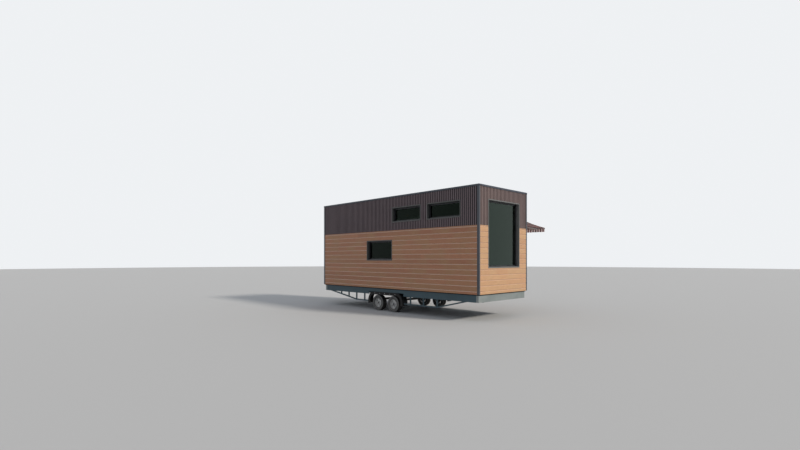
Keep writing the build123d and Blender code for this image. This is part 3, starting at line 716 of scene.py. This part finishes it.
# Upper cladding: trapezoid-ribbed steel sheet, coated brown-grey, hung upright on battens. The valleys are
# painted darker than the crests as painted shade in the recesses, deeply on the long sides. The long sides'
# coat is a darker tone as painted shade, the ends' a paler tone as painted sunlight.
crest_depth = 0.007
valley_depth = 0.029
rib_pitch = 0.07
facing = {"left": 0, "right": 180, "rear": 90, "front": -90}
long_sides = ("left", "right")


def depth_behind(place, axis):
    """How deep a place lies behind the nearer of the two faces across this axis."""
    low, high = house_low["XY".index(axis)], house_high["XY".index(axis)]
    return (high - low) / 2 - abs(place.axes()["XY".index(axis)] - (low + high) / 2)


def rib_tone(axis, valley):
    """Darkens the valleys of ribs that stand on the two faces across this axis, as painted shade."""
    def tone(place, base):
        return depth_behind(place, axis).remap(valley_depth - 0.001, crest_depth + 0.001).blend(valley, base)

    return tone


# Painted shade and light: one sheet coat, darker with deep painted valley shade on the long sides, paler on the ends
ribbed_long = coated_metal(
    "ribbed_long", (0.134, 0.097, 0.106), (0.153, 0.111, 0.119), 0.40, metallic=0.1, streak=0.3,
    tone=rib_tone("Y", (0.030, 0.024, 0.028)),
)
ribbed_end = coated_metal(
    "ribbed_end", (0.174, 0.126, 0.120), (0.192, 0.140, 0.132), 0.50, metallic=0.1, streak=0.3,
    tone=rib_tone("X", (0.142, 0.102, 0.097)),
)
paint(ribbed_long, "left_ribbed_sheet", "right_ribbed_sheet")
paint(ribbed_end, "rear_ribbed_sheet", "front_ribbed_sheet")

# Openings, each as the middle along its side, the middle height, the width and the height
roof_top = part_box("roof_coping")[1][2]
boards_low, boards_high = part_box("left_boards")
boards_bottom, boards_top = boards_low[2], boards_high[2]
window_head = roof_top - 0.395
upper_width, upper_height = 1.25, 0.45
middle_width, middle_height = 1.24, 0.64
rear_width, rear_sill = 1.59, 1.505
door_width, door_height = 0.90, 2.04
upper_near_x = house_high[0] - 0.66 - upper_width / 2
upper_far_x = upper_near_x - upper_width - 0.29
middle_window = (
    house_high[0] - 3.48 - middle_width / 2, boards_top - 0.325 - middle_height / 2, middle_width, middle_height
)
windows = {
    side: [middle_window] + [(x, window_head - upper_height / 2, upper_width, upper_height) for x in places]
    for side, places in (
        ("left", (upper_near_x, upper_far_x)),
        ("right", (2 * middle_x - upper_near_x, 2 * middle_x - upper_far_x)),
    )
}
windows["rear"] = [(middle_y, (rear_sill + window_head) / 2, rear_width, window_head - rear_sill)]
windows["front"] = []
door = (house_high[0] - 1.25 - door_width / 2, floor_level + door_height / 2, door_width, door_height)
openings = dict(windows, right=windows["right"] + [door])


def run_of(side, box=(house_low, house_high)):
    """Where a side starts and ends, in x on a long side and in y on an end."""
    axis = 0 if side in long_sides else 1
    return box[0][axis], box[1][axis]


def on_side(side, along, height, depth=0.0):
    """A point this deep behind one side's outer face; along is its x on a long side and its y on an end."""
    if side in long_sides:
        return (along, house_low[1] + depth if side == "left" else house_high[1] - depth, height)
    return (house_high[0] - depth if side == "rear" else house_low[0] + depth, along, height)


def clear_of_openings(side, along, height, margin):
    """True where a fixing at this place doesn't touch an opening of its side."""
    return all(
        abs(along - middle) >= width / 2 + margin or abs(height - level) >= tall / 2 + margin
        for middle, level, width, tall in openings[side]
    )


# Painted screws with sealing washers hold every second valley, in three rows
sheet_screws = []
for side in facing:
    start, end = run_of(side)
    trim_legs = 0.006 if side in long_sides else 0.066
    count = int((end - start - trim_legs) // rib_pitch)
    mirror = -1 if side in ("right", "front") else 1
    for number in range(1, count, 2):
        along = (start + end) / 2 + mirror * (number - count / 2) * rib_pitch
        for height in (boards_top + 0.05, boards_top + 0.54, roof_top - 0.10):
            if clear_of_openings(side, along, height, 0.04):
                sheet_screws.append((on_side(side, along, height, valley_depth), facing[side]))
screw_paint = coated_metal("screw_paint", (0.10, 0.074, 0.072), (0.12, 0.09, 0.085), 0.36, metallic=0.2)
ribbed_screws = spread("ribbed_screws", bolt("screw", 0.0048, 0.0055, 0.0085), sheet_screws)
finished(ribbed_screws, screw_paint, 30)

# Lower cladding: oiled softwood boards laid level at 150 mm, each with a tongue behind and chamfered
# front edges, nailed to battens. The chamfers are painted paler than the faces, a painted highlight where
# they catch the light.
board_pitch = 0.15
board_gap = 0.003
board_chamfer = 0.012
board_front, board_depth = 0.016, 0.030
board_rows = 14
board_start = boards_bottom - 0.07
board_joint = 0.0016
board_setback = 0.003
tongue_gap = 0.0005


def joint_place(row):
    """Where a row of the long sides is butt-jointed, in four staggered places. A row is a number or a signal."""
    return row % 4 * 0.61 + row % 2 * 1.22 + (house_low[0] + 2.1)


def cut_away(piece, cutters):
    """Cuts bars out of a piece and removes them."""
    cutter = joined("cutter", cutters)
    with_modifier(piece, "BOOLEAN", operation="DIFFERENCE", solver="EXACT", use_self=True, object=cutter)
    bpy.data.objects.remove(cutter, do_unlink=True)


def hung(piece, side, along, height, depth=0.0):
    """Turns a piece that faces -Y to its side, puts it in its place there and applies both."""
    piece.rotation_euler = (0, 0, math.radians(facing[side]))
    piece.location = on_side(side, along, height, depth)
    return joined(piece.name, [piece])


def cladding_boards(side):
    """All the boards of one side, cut to height, butt-jointed and cut round its openings."""
    start, end = run_of(side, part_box(f"{side}_boards"))
    half = (end - start) / 2
    centre = sum(run_of(side)) / 2
    mirror = -1 if side in ("right", "front") else 1
    piece = bar(f"boards_{side}", (-half, 0, board_gap / 2), (half, board_front, board_pitch - board_gap / 2))
    opened(piece)
    bevel_edges(board_chamfer, 1, lambda middle, run: abs(run.x) > 0.9 and middle.y < 0.001)
    select_parts("FACE", lambda middle, normal: normal.y > 0.9)
    bpy.ops.mesh.extrude_region_move()
    stretch = (board_pitch - tongue_gap) / (board_pitch - board_gap)
    bpy.ops.transform.resize(value=(1, 1, stretch), center_override=(0, board_front, board_pitch / 2))
    bpy.ops.mesh.extrude_region_move(TRANSFORM_OT_translate={"value": (0, board_depth - board_front, 0)})
    bpy.ops.mesh.select_all(action="SELECT")
    bpy.ops.transform.translate(value=(0, 0, board_start))
    closed()
    repeated(piece, board_rows, (0, 0, board_pitch))

    def cutter(along, width, bottom, top):
        return bar("cutter", (along, -0.02, bottom), (along + width, 0.05, top))

    holes = [
        cutter(mirror * (middle - centre) - width / 2, width, level - tall / 2, level + tall / 2)
        for middle, level, width, tall in openings[side] if level - tall / 2 < boards_top
    ]
    if side in long_sides:
        rows = [(joint_place(row) - centre, board_start + row * board_pitch) for row in range(board_rows)]
        cut_away(piece, [
            cutter(mirror * joint, board_joint, bottom + 0.0002, bottom + board_pitch - 0.0002)
            for joint, bottom in rows
        ])
    for level, upward in ((boards_top, 1), (boards_bottom, -1)):
        opened(piece)
        bpy.ops.mesh.bisect(plane_co=(0, 0, level), plane_no=(0, 0, upward), use_fill=True, clear_outer=True)
        closed()
    if holes:
        cut_away(piece, holes)
    return hung(piece, side, centre, 0, board_setback)


def board_material(name, along, colour, shade, tan, chamfer_light, lower_chamfer_light):
    """Boards that each have their own tone, hue and grain, painted highlights on the chamfers and weathered lower
    rows.
    """
    material, shader, place = new_material(name)
    across_x, across_y, height = place.axes()
    rows = (height - board_start) / board_pitch
    row = rows.math("FLOOR")
    if along == "X":
        beyond, far_side, length = across_x > joint_place(row), across_y > middle_y, across_x
    else:
        beyond = far_side = across_x > middle_x
        length = across_y
    number = row + beyond * 31.0 + far_side * 67.0
    board = number.random()
    wood = grained(place, along, board)
    base = board.blend(colour, shade)
    drift = place.through("CombineXYZ", 0, {"X": length * 1.5, "Y": number * 7.3})
    base = (drift.noise(1.0, 2.0, 0.5).remap(0.38, 0.66) * 0.75).blend(base, tan)
    base = (wood["Rings"] * 0.34).blend(base, [0.74 * channel for channel in shade])
    base = wood["Fibre"].remap(0.35, 0.75, 0.0, 0.3).blend(base, (0.56, 0.31, 0.18))
    base = (wood["Knots"] * 0.55).blend(base, (0.085, 0.035, 0.016))
    within = rows.math("FRACT")
    from_middle = abs(within - 0.5)
    flat_edge = 0.5 - (board_gap / 2 + board_chamfer) / board_pitch
    # Painted highlight: the chamfers are painted paler, the upper one most, as if they catch the light
    chamfer_light_share = within.remap(0.4, 0.6, lower_chamfer_light, 1.0) * chamfer_light
    base = (from_middle.remap(flat_edge - 0.012, flat_edge + 0.004) * chamfer_light_share).blend(base, (0.84, 0.62, 0.49))
    gap_share = board_gap / board_pitch
    gap = from_middle.remap(0.5 - 0.55 * gap_share, 0.5 - 0.45 * gap_share)
    base = gap.blend(base, (0.03, 0.014, 0.008))
    wear = weathered(place, 1.5, 1.1)
    base = (wear["Streaks"] * 0.07).blend(base, [0.62 * channel for channel in shade])
    feed_all(shader, {
        "Base Color": (wear["Dust"] * 0.22).blend(base, (0.30, 0.20, 0.13)),
        "Roughness": wood["Fibre"].remap(0.2, 0.8, 0.42, 0.62),
        "Normal": (wood["Fibre"] * 0.6 - wood["Rings"] * 0.25).bump(0.35, 0.0012),
    })
    return material


# Painted shade and light: one wood in two tones, darker and redder on the long sides as painted shade, paler on the
# ends as painted sunlight
board_long = board_material(
    "board_long", "X", (0.40, 0.170, 0.085), (0.315, 0.122, 0.060), (0.335, 0.185, 0.083), 0.85, 0.3
)
board_end = board_material(
    "board_end", "Y", (0.49, 0.275, 0.142), (0.43, 0.236, 0.120), (0.47, 0.30, 0.155), 0.30, 0.8
)
nail_rise = 0.034
nail_margin = 0.012
nail_places = []
for side in facing:
    boards = cladding_boards(side)
    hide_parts(f"{side}_boards")
    finished(boards, board_long if side in long_sides else board_end)
    start, end = run_of(side)
    inset, columns = (0.10, 12) if side in long_sides else (0.09, 4)
    for column in range(columns + 1):
        along = start + inset + (end - start - 2 * inset) * column / columns
        for row in range(board_rows):
            height = board_start + row * board_pitch + nail_rise
            on_board = boards_bottom + nail_margin < height < boards_top - nail_margin
            if on_board and clear_of_openings(side, along, height, 0.03):
                nail_places.append((on_side(side, along, height, board_setback + 0.0002), facing[side]))
finished(spread("board_nails", bolt("nail", 0.0034, 0.0009, 0.0035, 10), nail_places), zinc)

# Corner trims: folded metal angles over the ends of the boards and sheets, coated anthracite.
# Rivets hold them, in a line down each leg.
dark_coat = coated_metal(
    "dark_coat", (0.043, 0.049, 0.062), (0.056, 0.062, 0.075), 0.36, metallic=0.15, dust=0.25, dust_height=1.4,
    streak=0.15,
)
paint(dark_coat, "corner_trims")
rivet_rows = 10
rivet_margin = 0.06
rivet_pitch = (house_high[2] - house_low[2] - 2 * rivet_margin) / (rivet_rows - 1)
rivet_places = []
for number in range(rivet_rows):
    height = house_low[2] + rivet_margin + number * rivet_pitch
    for side in facing:
        inset = 0.052 if side in long_sides else 0.036
        start, end = run_of(side)
        rivet_places += [(on_side(side, along, height), facing[side]) for along in (start + inset, end - inset)]
corner_rivets = spread("corner_rivets", bolt("rivet", 0.0045, 0.0018, 0.005, 14), rivet_places)
finished(corner_rivets, dark_coat, 50)

# Windows: deep coated aluminium frames set back in grey linings that lap over the cladding, with dark
# sealed glazing held by rubber gaskets and thin beads. The linings and their flanges get a grey for each
# side by where light falls: paler on the rear end as painted sunlight, darker on the long sides as painted shade.
reveal_depth = 0.093
frame_face, frame_depth = 0.045, 0.060
glass_back = reveal_depth + frame_depth / 2
glass_half = 0.012


def frame_tone(axis, grey, lap_grey):
    """Grey linings in front of the frame, with flanges of their own grey, on the faces across this axis. The greys
    are painted light and shade for that side.
    """
    def tone(place, base):
        depth = depth_behind(place, axis)
        base = depth.remap(reveal_depth, reveal_depth - 0.001).blend(base, (grey, grey, 0.97 * grey))
        return depth.remap(0.0035, 0.0030).blend(base, (lap_grey, lap_grey, 0.98 * lap_grey))

    return tone


def tinted_glass(name, tint, painted_reflection_tint, index):
    """Dark sealed glazing, its reflection tinted green as a painted reflection of foliage."""
    glass = bpy.data.materials.new(name)
    glass.use_nodes = True
    feed_all(glass.node_tree.nodes["Principled BSDF"], {
        "Base Color": tint,
        "Roughness": 0.015,
        "Transmission Weight": 1.0,
        "IOR": index,
        "Specular Tint": painted_reflection_tint,
    })
    return glass


# Painted light and shade: the rear end's linings get paler greys than the long sides'
frame_colours = (0.008, 0.009, 0.013), (0.012, 0.013, 0.018)
for name, tone, frames in (
    ("frame_long", frame_tone("Y", 0.090, 0.065), ("left_window_frames", "right_window_frames", "door_frame")),
    ("frame_end", frame_tone("X", 0.18, 0.12), ("rear_window_frames",)),
):
    paint(coated_metal(name, *frame_colours, 0.36, metallic=0.1, streak=0.15, tone=tone), *frames)
# Painted reflection: green-tinted reflections, stronger on the rear window than on the sides
side_glass = tinted_glass("side_glass", (0.05, 0.07, 0.055), (0.66, 1.0, 0.76), 1.19)
paint(side_glass, "left_window_glass", "right_window_glass", "door_glass")
paint(tinted_glass("end_glass", (0.05, 0.075, 0.058), (0.58, 1.0, 0.72), 1.40), "rear_window_glass")


def surround(name, side, opening, inset, width, depth, thickness, round_over):
    """A rectangular ring of bar, lying in an opening this far in from its edge and behind the wall's face."""
    along, level, wide, tall = opening
    piece = joined(name, [primitive(bpy.ops.mesh.primitive_plane_add, size=1, rotation=(math.pi / 2, 0, 0))])
    opened(piece)
    bpy.ops.transform.resize(value=(wide - 2 * inset, 1, tall - 2 * inset))
    bpy.ops.mesh.inset(thickness=width, depth=0)
    bpy.ops.mesh.delete(type="FACE")
    closed()
    with_modifier(piece, "SOLIDIFY", thickness=thickness, offset=-1)
    with_modifier(piece, "BEVEL", width=round_over, segments=2, limit_method="ANGLE")
    return hung(piece, side, along, level, depth)


gasket_rubber = coated_metal("gasket_rubber", (0.006, 0.006, 0.006), (0.009, 0.009, 0.009), 0.6)
bead_coat = coated_metal("bead_coat", *frame_colours, 0.32, metallic=0.1, streak=0.1)
gasket_width, gasket_depth = 0.007, 0.004
bead_inset, bead_width, bead_depth = 0.017, 0.026, 0.006
gasket_parts = []
bead_parts = []
for side in windows:
    for opening in windows[side]:
        for depth in (glass_back - glass_half - gasket_depth, glass_back + glass_half):
            gasket = surround("gasket", side, opening, frame_face, gasket_width, depth, gasket_depth, 0.0014)
            gasket_parts.append(gasket)
        depth = reveal_depth - bead_depth
        bead_parts.append(surround("bead", side, opening, bead_inset, bead_width, depth, bead_depth, 0.0022))
finished(joined("window_gaskets", gasket_parts), gasket_rubber, 40)
finished(joined("window_beads", bead_parts), bead_coat, 40)

# Sills: sheets that slope outwards in the bottom of each lining
sill_parts = []
sill_sheet = 0.003
sill_fall = 0.010
for side in windows:
    for along, level, width, tall in windows[side]:
        sill_half = width / 2 - 0.0065
        sill = bar("sill", (-sill_half, 0.002, 0), (sill_half, reveal_depth - 0.001, sill_sheet))
        opened(sill)
        select_parts("EDGE", lambda middle, run: middle.y > reveal_depth - 0.002 and abs(run.x) > 0.9)
        bpy.ops.transform.translate(value=(0, 0, sill_fall))
        select_parts("FACE", lambda middle, normal: normal.y < -0.9)
        bpy.ops.mesh.inset(thickness=0.0008, depth=0)
        closed()
        with_modifier(sill, "BEVEL", width=0.0008, segments=2, limit_method="ANGLE")
        sill_parts.append(hung(sill, side, along, level - tall / 2 + 0.006))
sill_coat = coated_metal(
    "sill_coat", (0.17, 0.17, 0.165), (0.20, 0.20, 0.19), 0.38, metallic=0.15, streak=0.35
)
finished(joined("window_sills", sill_parts), sill_coat, 40)

# Entrance door: a coated leaf with a large dark light above a plain panel, on three hinges, with a
# lever handle on a long plate, a lock, a drip rail and a brushed metal threshold.
door_coat = coated_metal(
    "door_coat", (0.016, 0.019, 0.026), (0.022, 0.025, 0.032), 0.38, metallic=0.1, dust=0.12, dust_height=1.6,
    streak=0.2,
)
brushed_metal = coated_metal("brushed_handle", (0.50, 0.50, 0.49), (0.42, 0.42, 0.42), 0.3, metallic=1.0)
paint(door_coat, "door_leaf")
paint(brushed_metal, "door_handle")
leaf_low, leaf_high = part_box("door_leaf")
leaf_start, leaf_end = leaf_low[0], leaf_high[0]
leaf_bottom, leaf_top = leaf_low[2], leaf_high[2]
leaf_middle = (leaf_start + leaf_end) / 2
leaf_face = leaf_high[1]
leaf_depth = house_high[1] - leaf_face
light_low, light_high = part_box("door_glass")
light_bottom, light_top = light_low[2], light_high[2]
light = (leaf_middle, (light_bottom + light_top) / 2, light_high[0] - light_low[0], light_top - light_bottom)
panel = (leaf_middle, (leaf_bottom + light_bottom) / 2, leaf_end - leaf_start, light_bottom - leaf_bottom)
for name, coat, opening, inset, width, depth, thickness, round_over in (
    ("door_bead", door_coat, light, -0.016, 0.024, -0.007, 0.007, 0.0025),
    ("door_gasket", gasket_rubber, light, 0.0, 0.006, 0.009, 0.004, 0.0012),
    ("door_panel_mould", door_coat, panel, 0.11, 0.016, -0.004, 0.004, 0.0016),
):
    ring = surround(name, "right", opening, inset, width, leaf_depth + depth, thickness, round_over)
    finished(ring, coat, 40)

threshold_top = floor_level + 0.049
threshold_sheet = 0.004
threshold = bar(
    "door_threshold", (leaf_start - 0.002, leaf_face + 0.004, threshold_top - threshold_sheet),
    (leaf_end + 0.002, house_high[1] - 0.004, threshold_top),
)
opened(threshold)
bpy.ops.mesh.subdivide(number_cuts=11)
bevel_edges(0.0012, 2, lambda middle, run: middle.z > threshold_top - 0.0005 and abs(run.x) > 0.9)
closed()
finished(threshold, brushed_metal, 30)

hinge_line = leaf_end - 0.001
hinge_inset = 0.20
hinge_half, flap_half, flap_aside = 0.04, 0.015, 0.019
hinge_parts = []
for height in (leaf_bottom + hinge_inset, (leaf_bottom + leaf_top) / 2, leaf_top - hinge_inset):
    for rise, radius, length in (
        (0, 0.0085, 0.094), (0.0475, 0.0105, 0.006), (-0.0475, 0.0105, 0.006), (0, 0.0105, 0.004)
    ):
        knuckle_place = (hinge_line, leaf_face + 0.0095, height + rise)
        hinge_parts.append(cylinder(24, radius, length, knuckle_place, (0, 0, 0)))
    for flap in (hinge_line - flap_aside, hinge_line + flap_aside):
        hinge_parts.append(bar(
            "hinge_plate", (flap - flap_half, leaf_face - 0.0005, height - hinge_half),
            (flap + flap_half, leaf_face + 0.003, height + hinge_half), 0.001,
        ))
finished(joined("door_hinges", hinge_parts), door_coat, 40)

handle_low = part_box("door_handle")[0]
lock_x, lock_z = handle_low[0] + 0.017, handle_low[2] + 0.05
lock_radius, lock_depth = 0.0135, 0.012
lock = joined("door_lock", [cylinder(40, lock_radius, lock_depth, (lock_x, leaf_face + 0.013, lock_z))])
opened(lock)
select_parts("FACE", lambda middle, normal: normal.y > 0.9)
bpy.ops.mesh.inset(thickness=0.0035, depth=-0.0012)
bevel_edges(0.0007, 2, lambda middle, run: middle.y > leaf_face + 0.0185)
closed()
finished(lock, brushed_metal, 30)
keyway = bar(
    "keyway", (lock_x - 0.001, leaf_face + 0.0172, lock_z - 0.006),
    (lock_x + 0.001, leaf_face + 0.0182, lock_z + 0.006), 0.0003, 1,
)
finished(keyway, gasket_rubber)

drip_bottom, drip_top = leaf_bottom + 0.03, leaf_bottom + 0.058
drip_front = leaf_face + 0.03
drip_rail = bar(
    "door_drip_rail", (leaf_start + 0.01, leaf_face, drip_bottom), (leaf_end - 0.01, drip_front, drip_top)
)
opened(drip_rail)
bevel_edges(
    0.022, 5,
    lambda middle, run: middle.y > drip_front - 0.001 and middle.z > drip_top - 0.001 and abs(run.x) > 0.9,
)
closed()
finished(drip_rail, door_coat, 40)

# Roof: a dark single-ply membrane on a flat deck, in strips welded at their laps and along the kerb.
# A folded anthracite coping, laid in lengths, covers the edge.
membrane = coated_metal(
    "membrane", (0.055, 0.056, 0.060), (0.085, 0.085, 0.086), 0.62, dust=0.6, dust_height=6.0
)
paint(membrane, "roof_deck")
coping_joints = 2.45


def coping_seams(place, base):
    """Fine dark joint lines between the lengths of coping."""
    lines = plank_lines(place.axes()[0] - house_low[0], coping_joints, 0.006)
    return lines.blend(base, (0.006, 0.006, 0.008))


coping_coat = coated_metal(
    "coping_coat", (0.020, 0.027, 0.044), (0.028, 0.036, 0.054), 0.34, metallic=0.15, dust=0.12, dust_height=6.0,
    streak=0.2, tone=coping_seams,
)
paint(coping_coat, "roof_coping")
roof_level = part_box("roof_deck")[1][2]
kerb = 0.12
strip_width = 0.09
seam_half = 0.03
membrane_lengths = 8
seam_low = (house_low[0] + kerb, house_low[1] + kerb)
seam_high = (house_high[0] - kerb, house_high[1] - kerb)


def weld_strip(low_x, low_y, high_x, high_y, rise):
    """A welded strip that stands this far above the membrane."""
    return bar("seam", (low_x, low_y, roof_level - 0.001), (high_x, high_y, roof_level + rise), 0.001)


seam_parts = []
for number in range(1, membrane_lengths):
    seam_x = seam_low[0] + number * (seam_high[0] - seam_low[0]) / membrane_lengths
    seam_parts.append(weld_strip(seam_x - seam_half, seam_low[1], seam_x + seam_half, seam_high[1], 0.0022))
for low_y in (seam_low[1], seam_high[1] - strip_width):
    seam_parts.append(weld_strip(seam_low[0], low_y, seam_high[0], low_y + strip_width, 0.0032))
for low_x in (seam_low[0], seam_high[0] - strip_width):
    low_y, high_y = seam_low[1] + strip_width, seam_high[1] - strip_width
    seam_parts.append(weld_strip(low_x, low_y, low_x + strip_width, high_y, 0.0032))
seam_welds = coated_metal(
    "seam_welds", (0.082, 0.083, 0.086), (0.112, 0.112, 0.112), 0.50, dust=0.45, dust_height=6.0
)
finished(joined("roof_seams", seam_parts), seam_welds)

# Awning: a pale aluminium cassette on wall brackets, with striped acrylic cloth that runs out over a front
# bar on two folding arms and ends in a valance.
awning_coat = coated_metal(
    "awning_coat", (0.52, 0.52, 0.50), (0.58, 0.58, 0.56), 0.36, metallic=0.15, streak=0.12
)
# Painted reflection: the front bar is tinted pink, for the red cloth reflected in its metal
bar_coat = coated_metal("bar_coat", (0.60, 0.50, 0.49), (0.66, 0.57, 0.55), 0.36, metallic=0.1, streak=0.12)
paint(awning_coat, "awning_cassette", "awning_arms")
paint(bar_coat, "awning_front_bar")
cassette_low, cassette_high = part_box("awning_cassette")
front_low, front_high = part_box("awning_front_bar")
cloth_low, cloth_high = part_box("awning_fabric")
valance_low, valance_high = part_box("awning_valance")
stripe_pitch = 0.092
stripe_light = 0.05
thread_pitch = 0.0011
cloth_sheet = 0.0008
sag = 0.016


def awning_cloth_material(name, light, dark):
    """Woven stripes that run out from the wall, with a fine canvas weave and a little dirt."""
    material, shader, place = new_material(name)
    turn = ((place.axes()[0] - (cloth_low[0] - 5 * stripe_pitch)) / stripe_pitch).math("FRACT")
    base = (turn > stripe_light / stripe_pitch).blend(light, dark)
    threads_u, threads_v, _ = place.through("UVMap", 0, {}, uv_map="cloth").axes()
    turns = 2 * math.pi / thread_pitch
    weave = (threads_u * turns).math("SINE") * (threads_v * turns).math("SINE")
    base = weave.remap(-1.0, 1.0, 0.0, 0.12).blend(base, (0.1, 0.05, 0.05))
    soil = place.scaled((1.2, 3.0, 3.0)).noise(1.0, 5.0, 0.6).remap(0.42, 0.75)
    feed_all(shader, {
        "Base Color": (soil * 0.22).blend(base, (0.14, 0.11, 0.10)),
        "Roughness": 0.85,
        "Sheen Weight": 0.15,
        "Subsurface Weight": 0.9,
        "Subsurface Radius": (1.0, 0.8, 0.8),
        "Subsurface Scale": 0.004,
        "Normal": weave.bump(0.25, 0.0004),
    })
    return material


def cloth_grid(name, width, length, wide_cuts, long_cuts):
    """A flat sheet of cloth with a UV map in metres, ready to be hung."""
    piece = primitive(bpy.ops.mesh.primitive_grid_add, x_subdivisions=wide_cuts, y_subdivisions=long_cuts, size=1)
    piece.name = name
    opened(piece)
    bpy.ops.transform.resize(value=(width, length, 1))
    closed()
    cloth_map = piece.data.uv_layers[0]
    cloth_map.name = "cloth"
    for loop in piece.data.loops:
        cloth_map.data[loop.index].uv = piece.data.vertices[loop.vertex_index].co.xy
    return piece


cloth_width = cloth_high[0] - cloth_low[0]
cloth_middle = (cloth_low[0] + cloth_high[0]) / 2
cloth_front = front_high[1] + 0.0012
cloth_top = front_high[2] + 0.0012
route = [
    (cassette_high[1] - 0.004, cloth_high[2] - 0.001), (front_low[1] + 0.004, cloth_top),
    (front_high[1] - 0.014, cloth_top), (cloth_front, front_high[2] - 0.014), (cloth_front, front_high[2] - 0.03),
]
runs = [math.dist(a, b) for a, b in zip(route, route[1:])]
cloth_length = sum(runs)


def along_route(distance):
    """The point of the cloth's line, and how far along the free span it lies, at this distance from the roller."""
    share = min(1.0, distance / runs[0])
    for start, end, run in zip(route, route[1:], runs):
        if distance <= run or end is route[-1]:
            reach = min(1.0, distance / run)
            return (start[0] + (end[0] - start[0]) * reach, start[1] + (end[1] - start[1]) * reach), share
        distance -= run


awning_cloth = cloth_grid("awning_cloth", cloth_width, cloth_length, 90, 48)
for corner in awning_cloth.data.vertices:
    across = corner.co.x / cloth_width
    (out, height), share = along_route(corner.co.y + cloth_length / 2)
    slack = sag * 4 * share * (1 - share) * (1 + 0.25 * (1 - 4 * across * across))
    ripple = 0.0016 * math.sin(across * 34) * math.sin(math.pi * share)
    corner.co = (cloth_middle + corner.co.x, out, height - slack + ripple)
with_modifier(awning_cloth, "SOLIDIFY", thickness=cloth_sheet, offset=-1)
# Painted light: canopy and valance are one cloth in two tones, the canopy's stripes greyer, for how light falls on
# each
canopy_cloth = awning_cloth_material("canopy_cloth", (0.40, 0.31, 0.30), (0.105, 0.034, 0.040))
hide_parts("awning_fabric")
finished(awning_cloth, canopy_cloth, 60)

valance_height = valance_high[2] - valance_low[2]
valance_middle = (valance_low[1] + valance_high[1]) / 2
scallop = 0.005
scallop_pitch = 2 * stripe_pitch
valance = cloth_grid("awning_flounce", cloth_width, valance_height, 220, 10)
for corner in valance.data.vertices:
    down = 0.5 - corner.co.y / valance_height
    across = cloth_middle + corner.co.x
    wave = abs(math.sin(math.pi * (across - cloth_low[0]) / scallop_pitch))
    drop = down * (valance_height - scallop * (1 - wave))
    fold = 0.0013 * math.sin(across * 19) * down + 0.0008 * math.sin(across * 43 + 1) * down
    corner.co = (across, valance_middle + fold, valance_high[2] - drop)
with_modifier(valance, "SOLIDIFY", thickness=cloth_sheet, offset=0)
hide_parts("awning_valance")
# Painted light: the valance's light stripes are painted paler, as if lit through
valance_cloth = awning_cloth_material("valance_cloth", (0.90, 0.77, 0.75), (0.020, 0.004, 0.005))
finished(valance, valance_cloth, 60)

cap_depth = 0.009
cap_parts = []
for outer_x in (cassette_low[0], cassette_high[0] - cap_depth):
    for low, high in ((cassette_low, cassette_high), (front_low, front_high)):
        cap_parts.append(bar(
            "cap", (outer_x, low[1] + 0.003, low[2] - 0.002),
            (outer_x + cap_depth, high[1] - 0.001, high[2] - 0.012), 0.002,
        ))
# Painted light: the end caps are painted pale pink like the bar, so that the bar's shaded end reads as lit
cap_plastic = coated_metal("cap_plastic", (0.55, 0.50, 0.49), (0.60, 0.55, 0.54), 0.5)
finished(joined("awning_caps", cap_parts), cap_plastic, 30)
bracket_parts = []
bracket_half = 0.04
bracket_wall = house_high[1] - crest_depth
for share in (0.08, 0.5, 0.92):
    bracket_x = cassette_low[0] + share * (cassette_high[0] - cassette_low[0])
    for bottom, front, top in ((-0.030, bracket_wall + 0.008, 0.002), (-0.006, cassette_high[1] - 0.03, 0)):
        bracket_parts.append(bar(
            "bracket", (bracket_x - bracket_half, bracket_wall, cassette_low[2] + bottom),
            (bracket_x + bracket_half, front, cassette_low[2] + top), 0.002,
        ))
finished(joined("awning_brackets", bracket_parts), awning_coat, 30)

low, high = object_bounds()
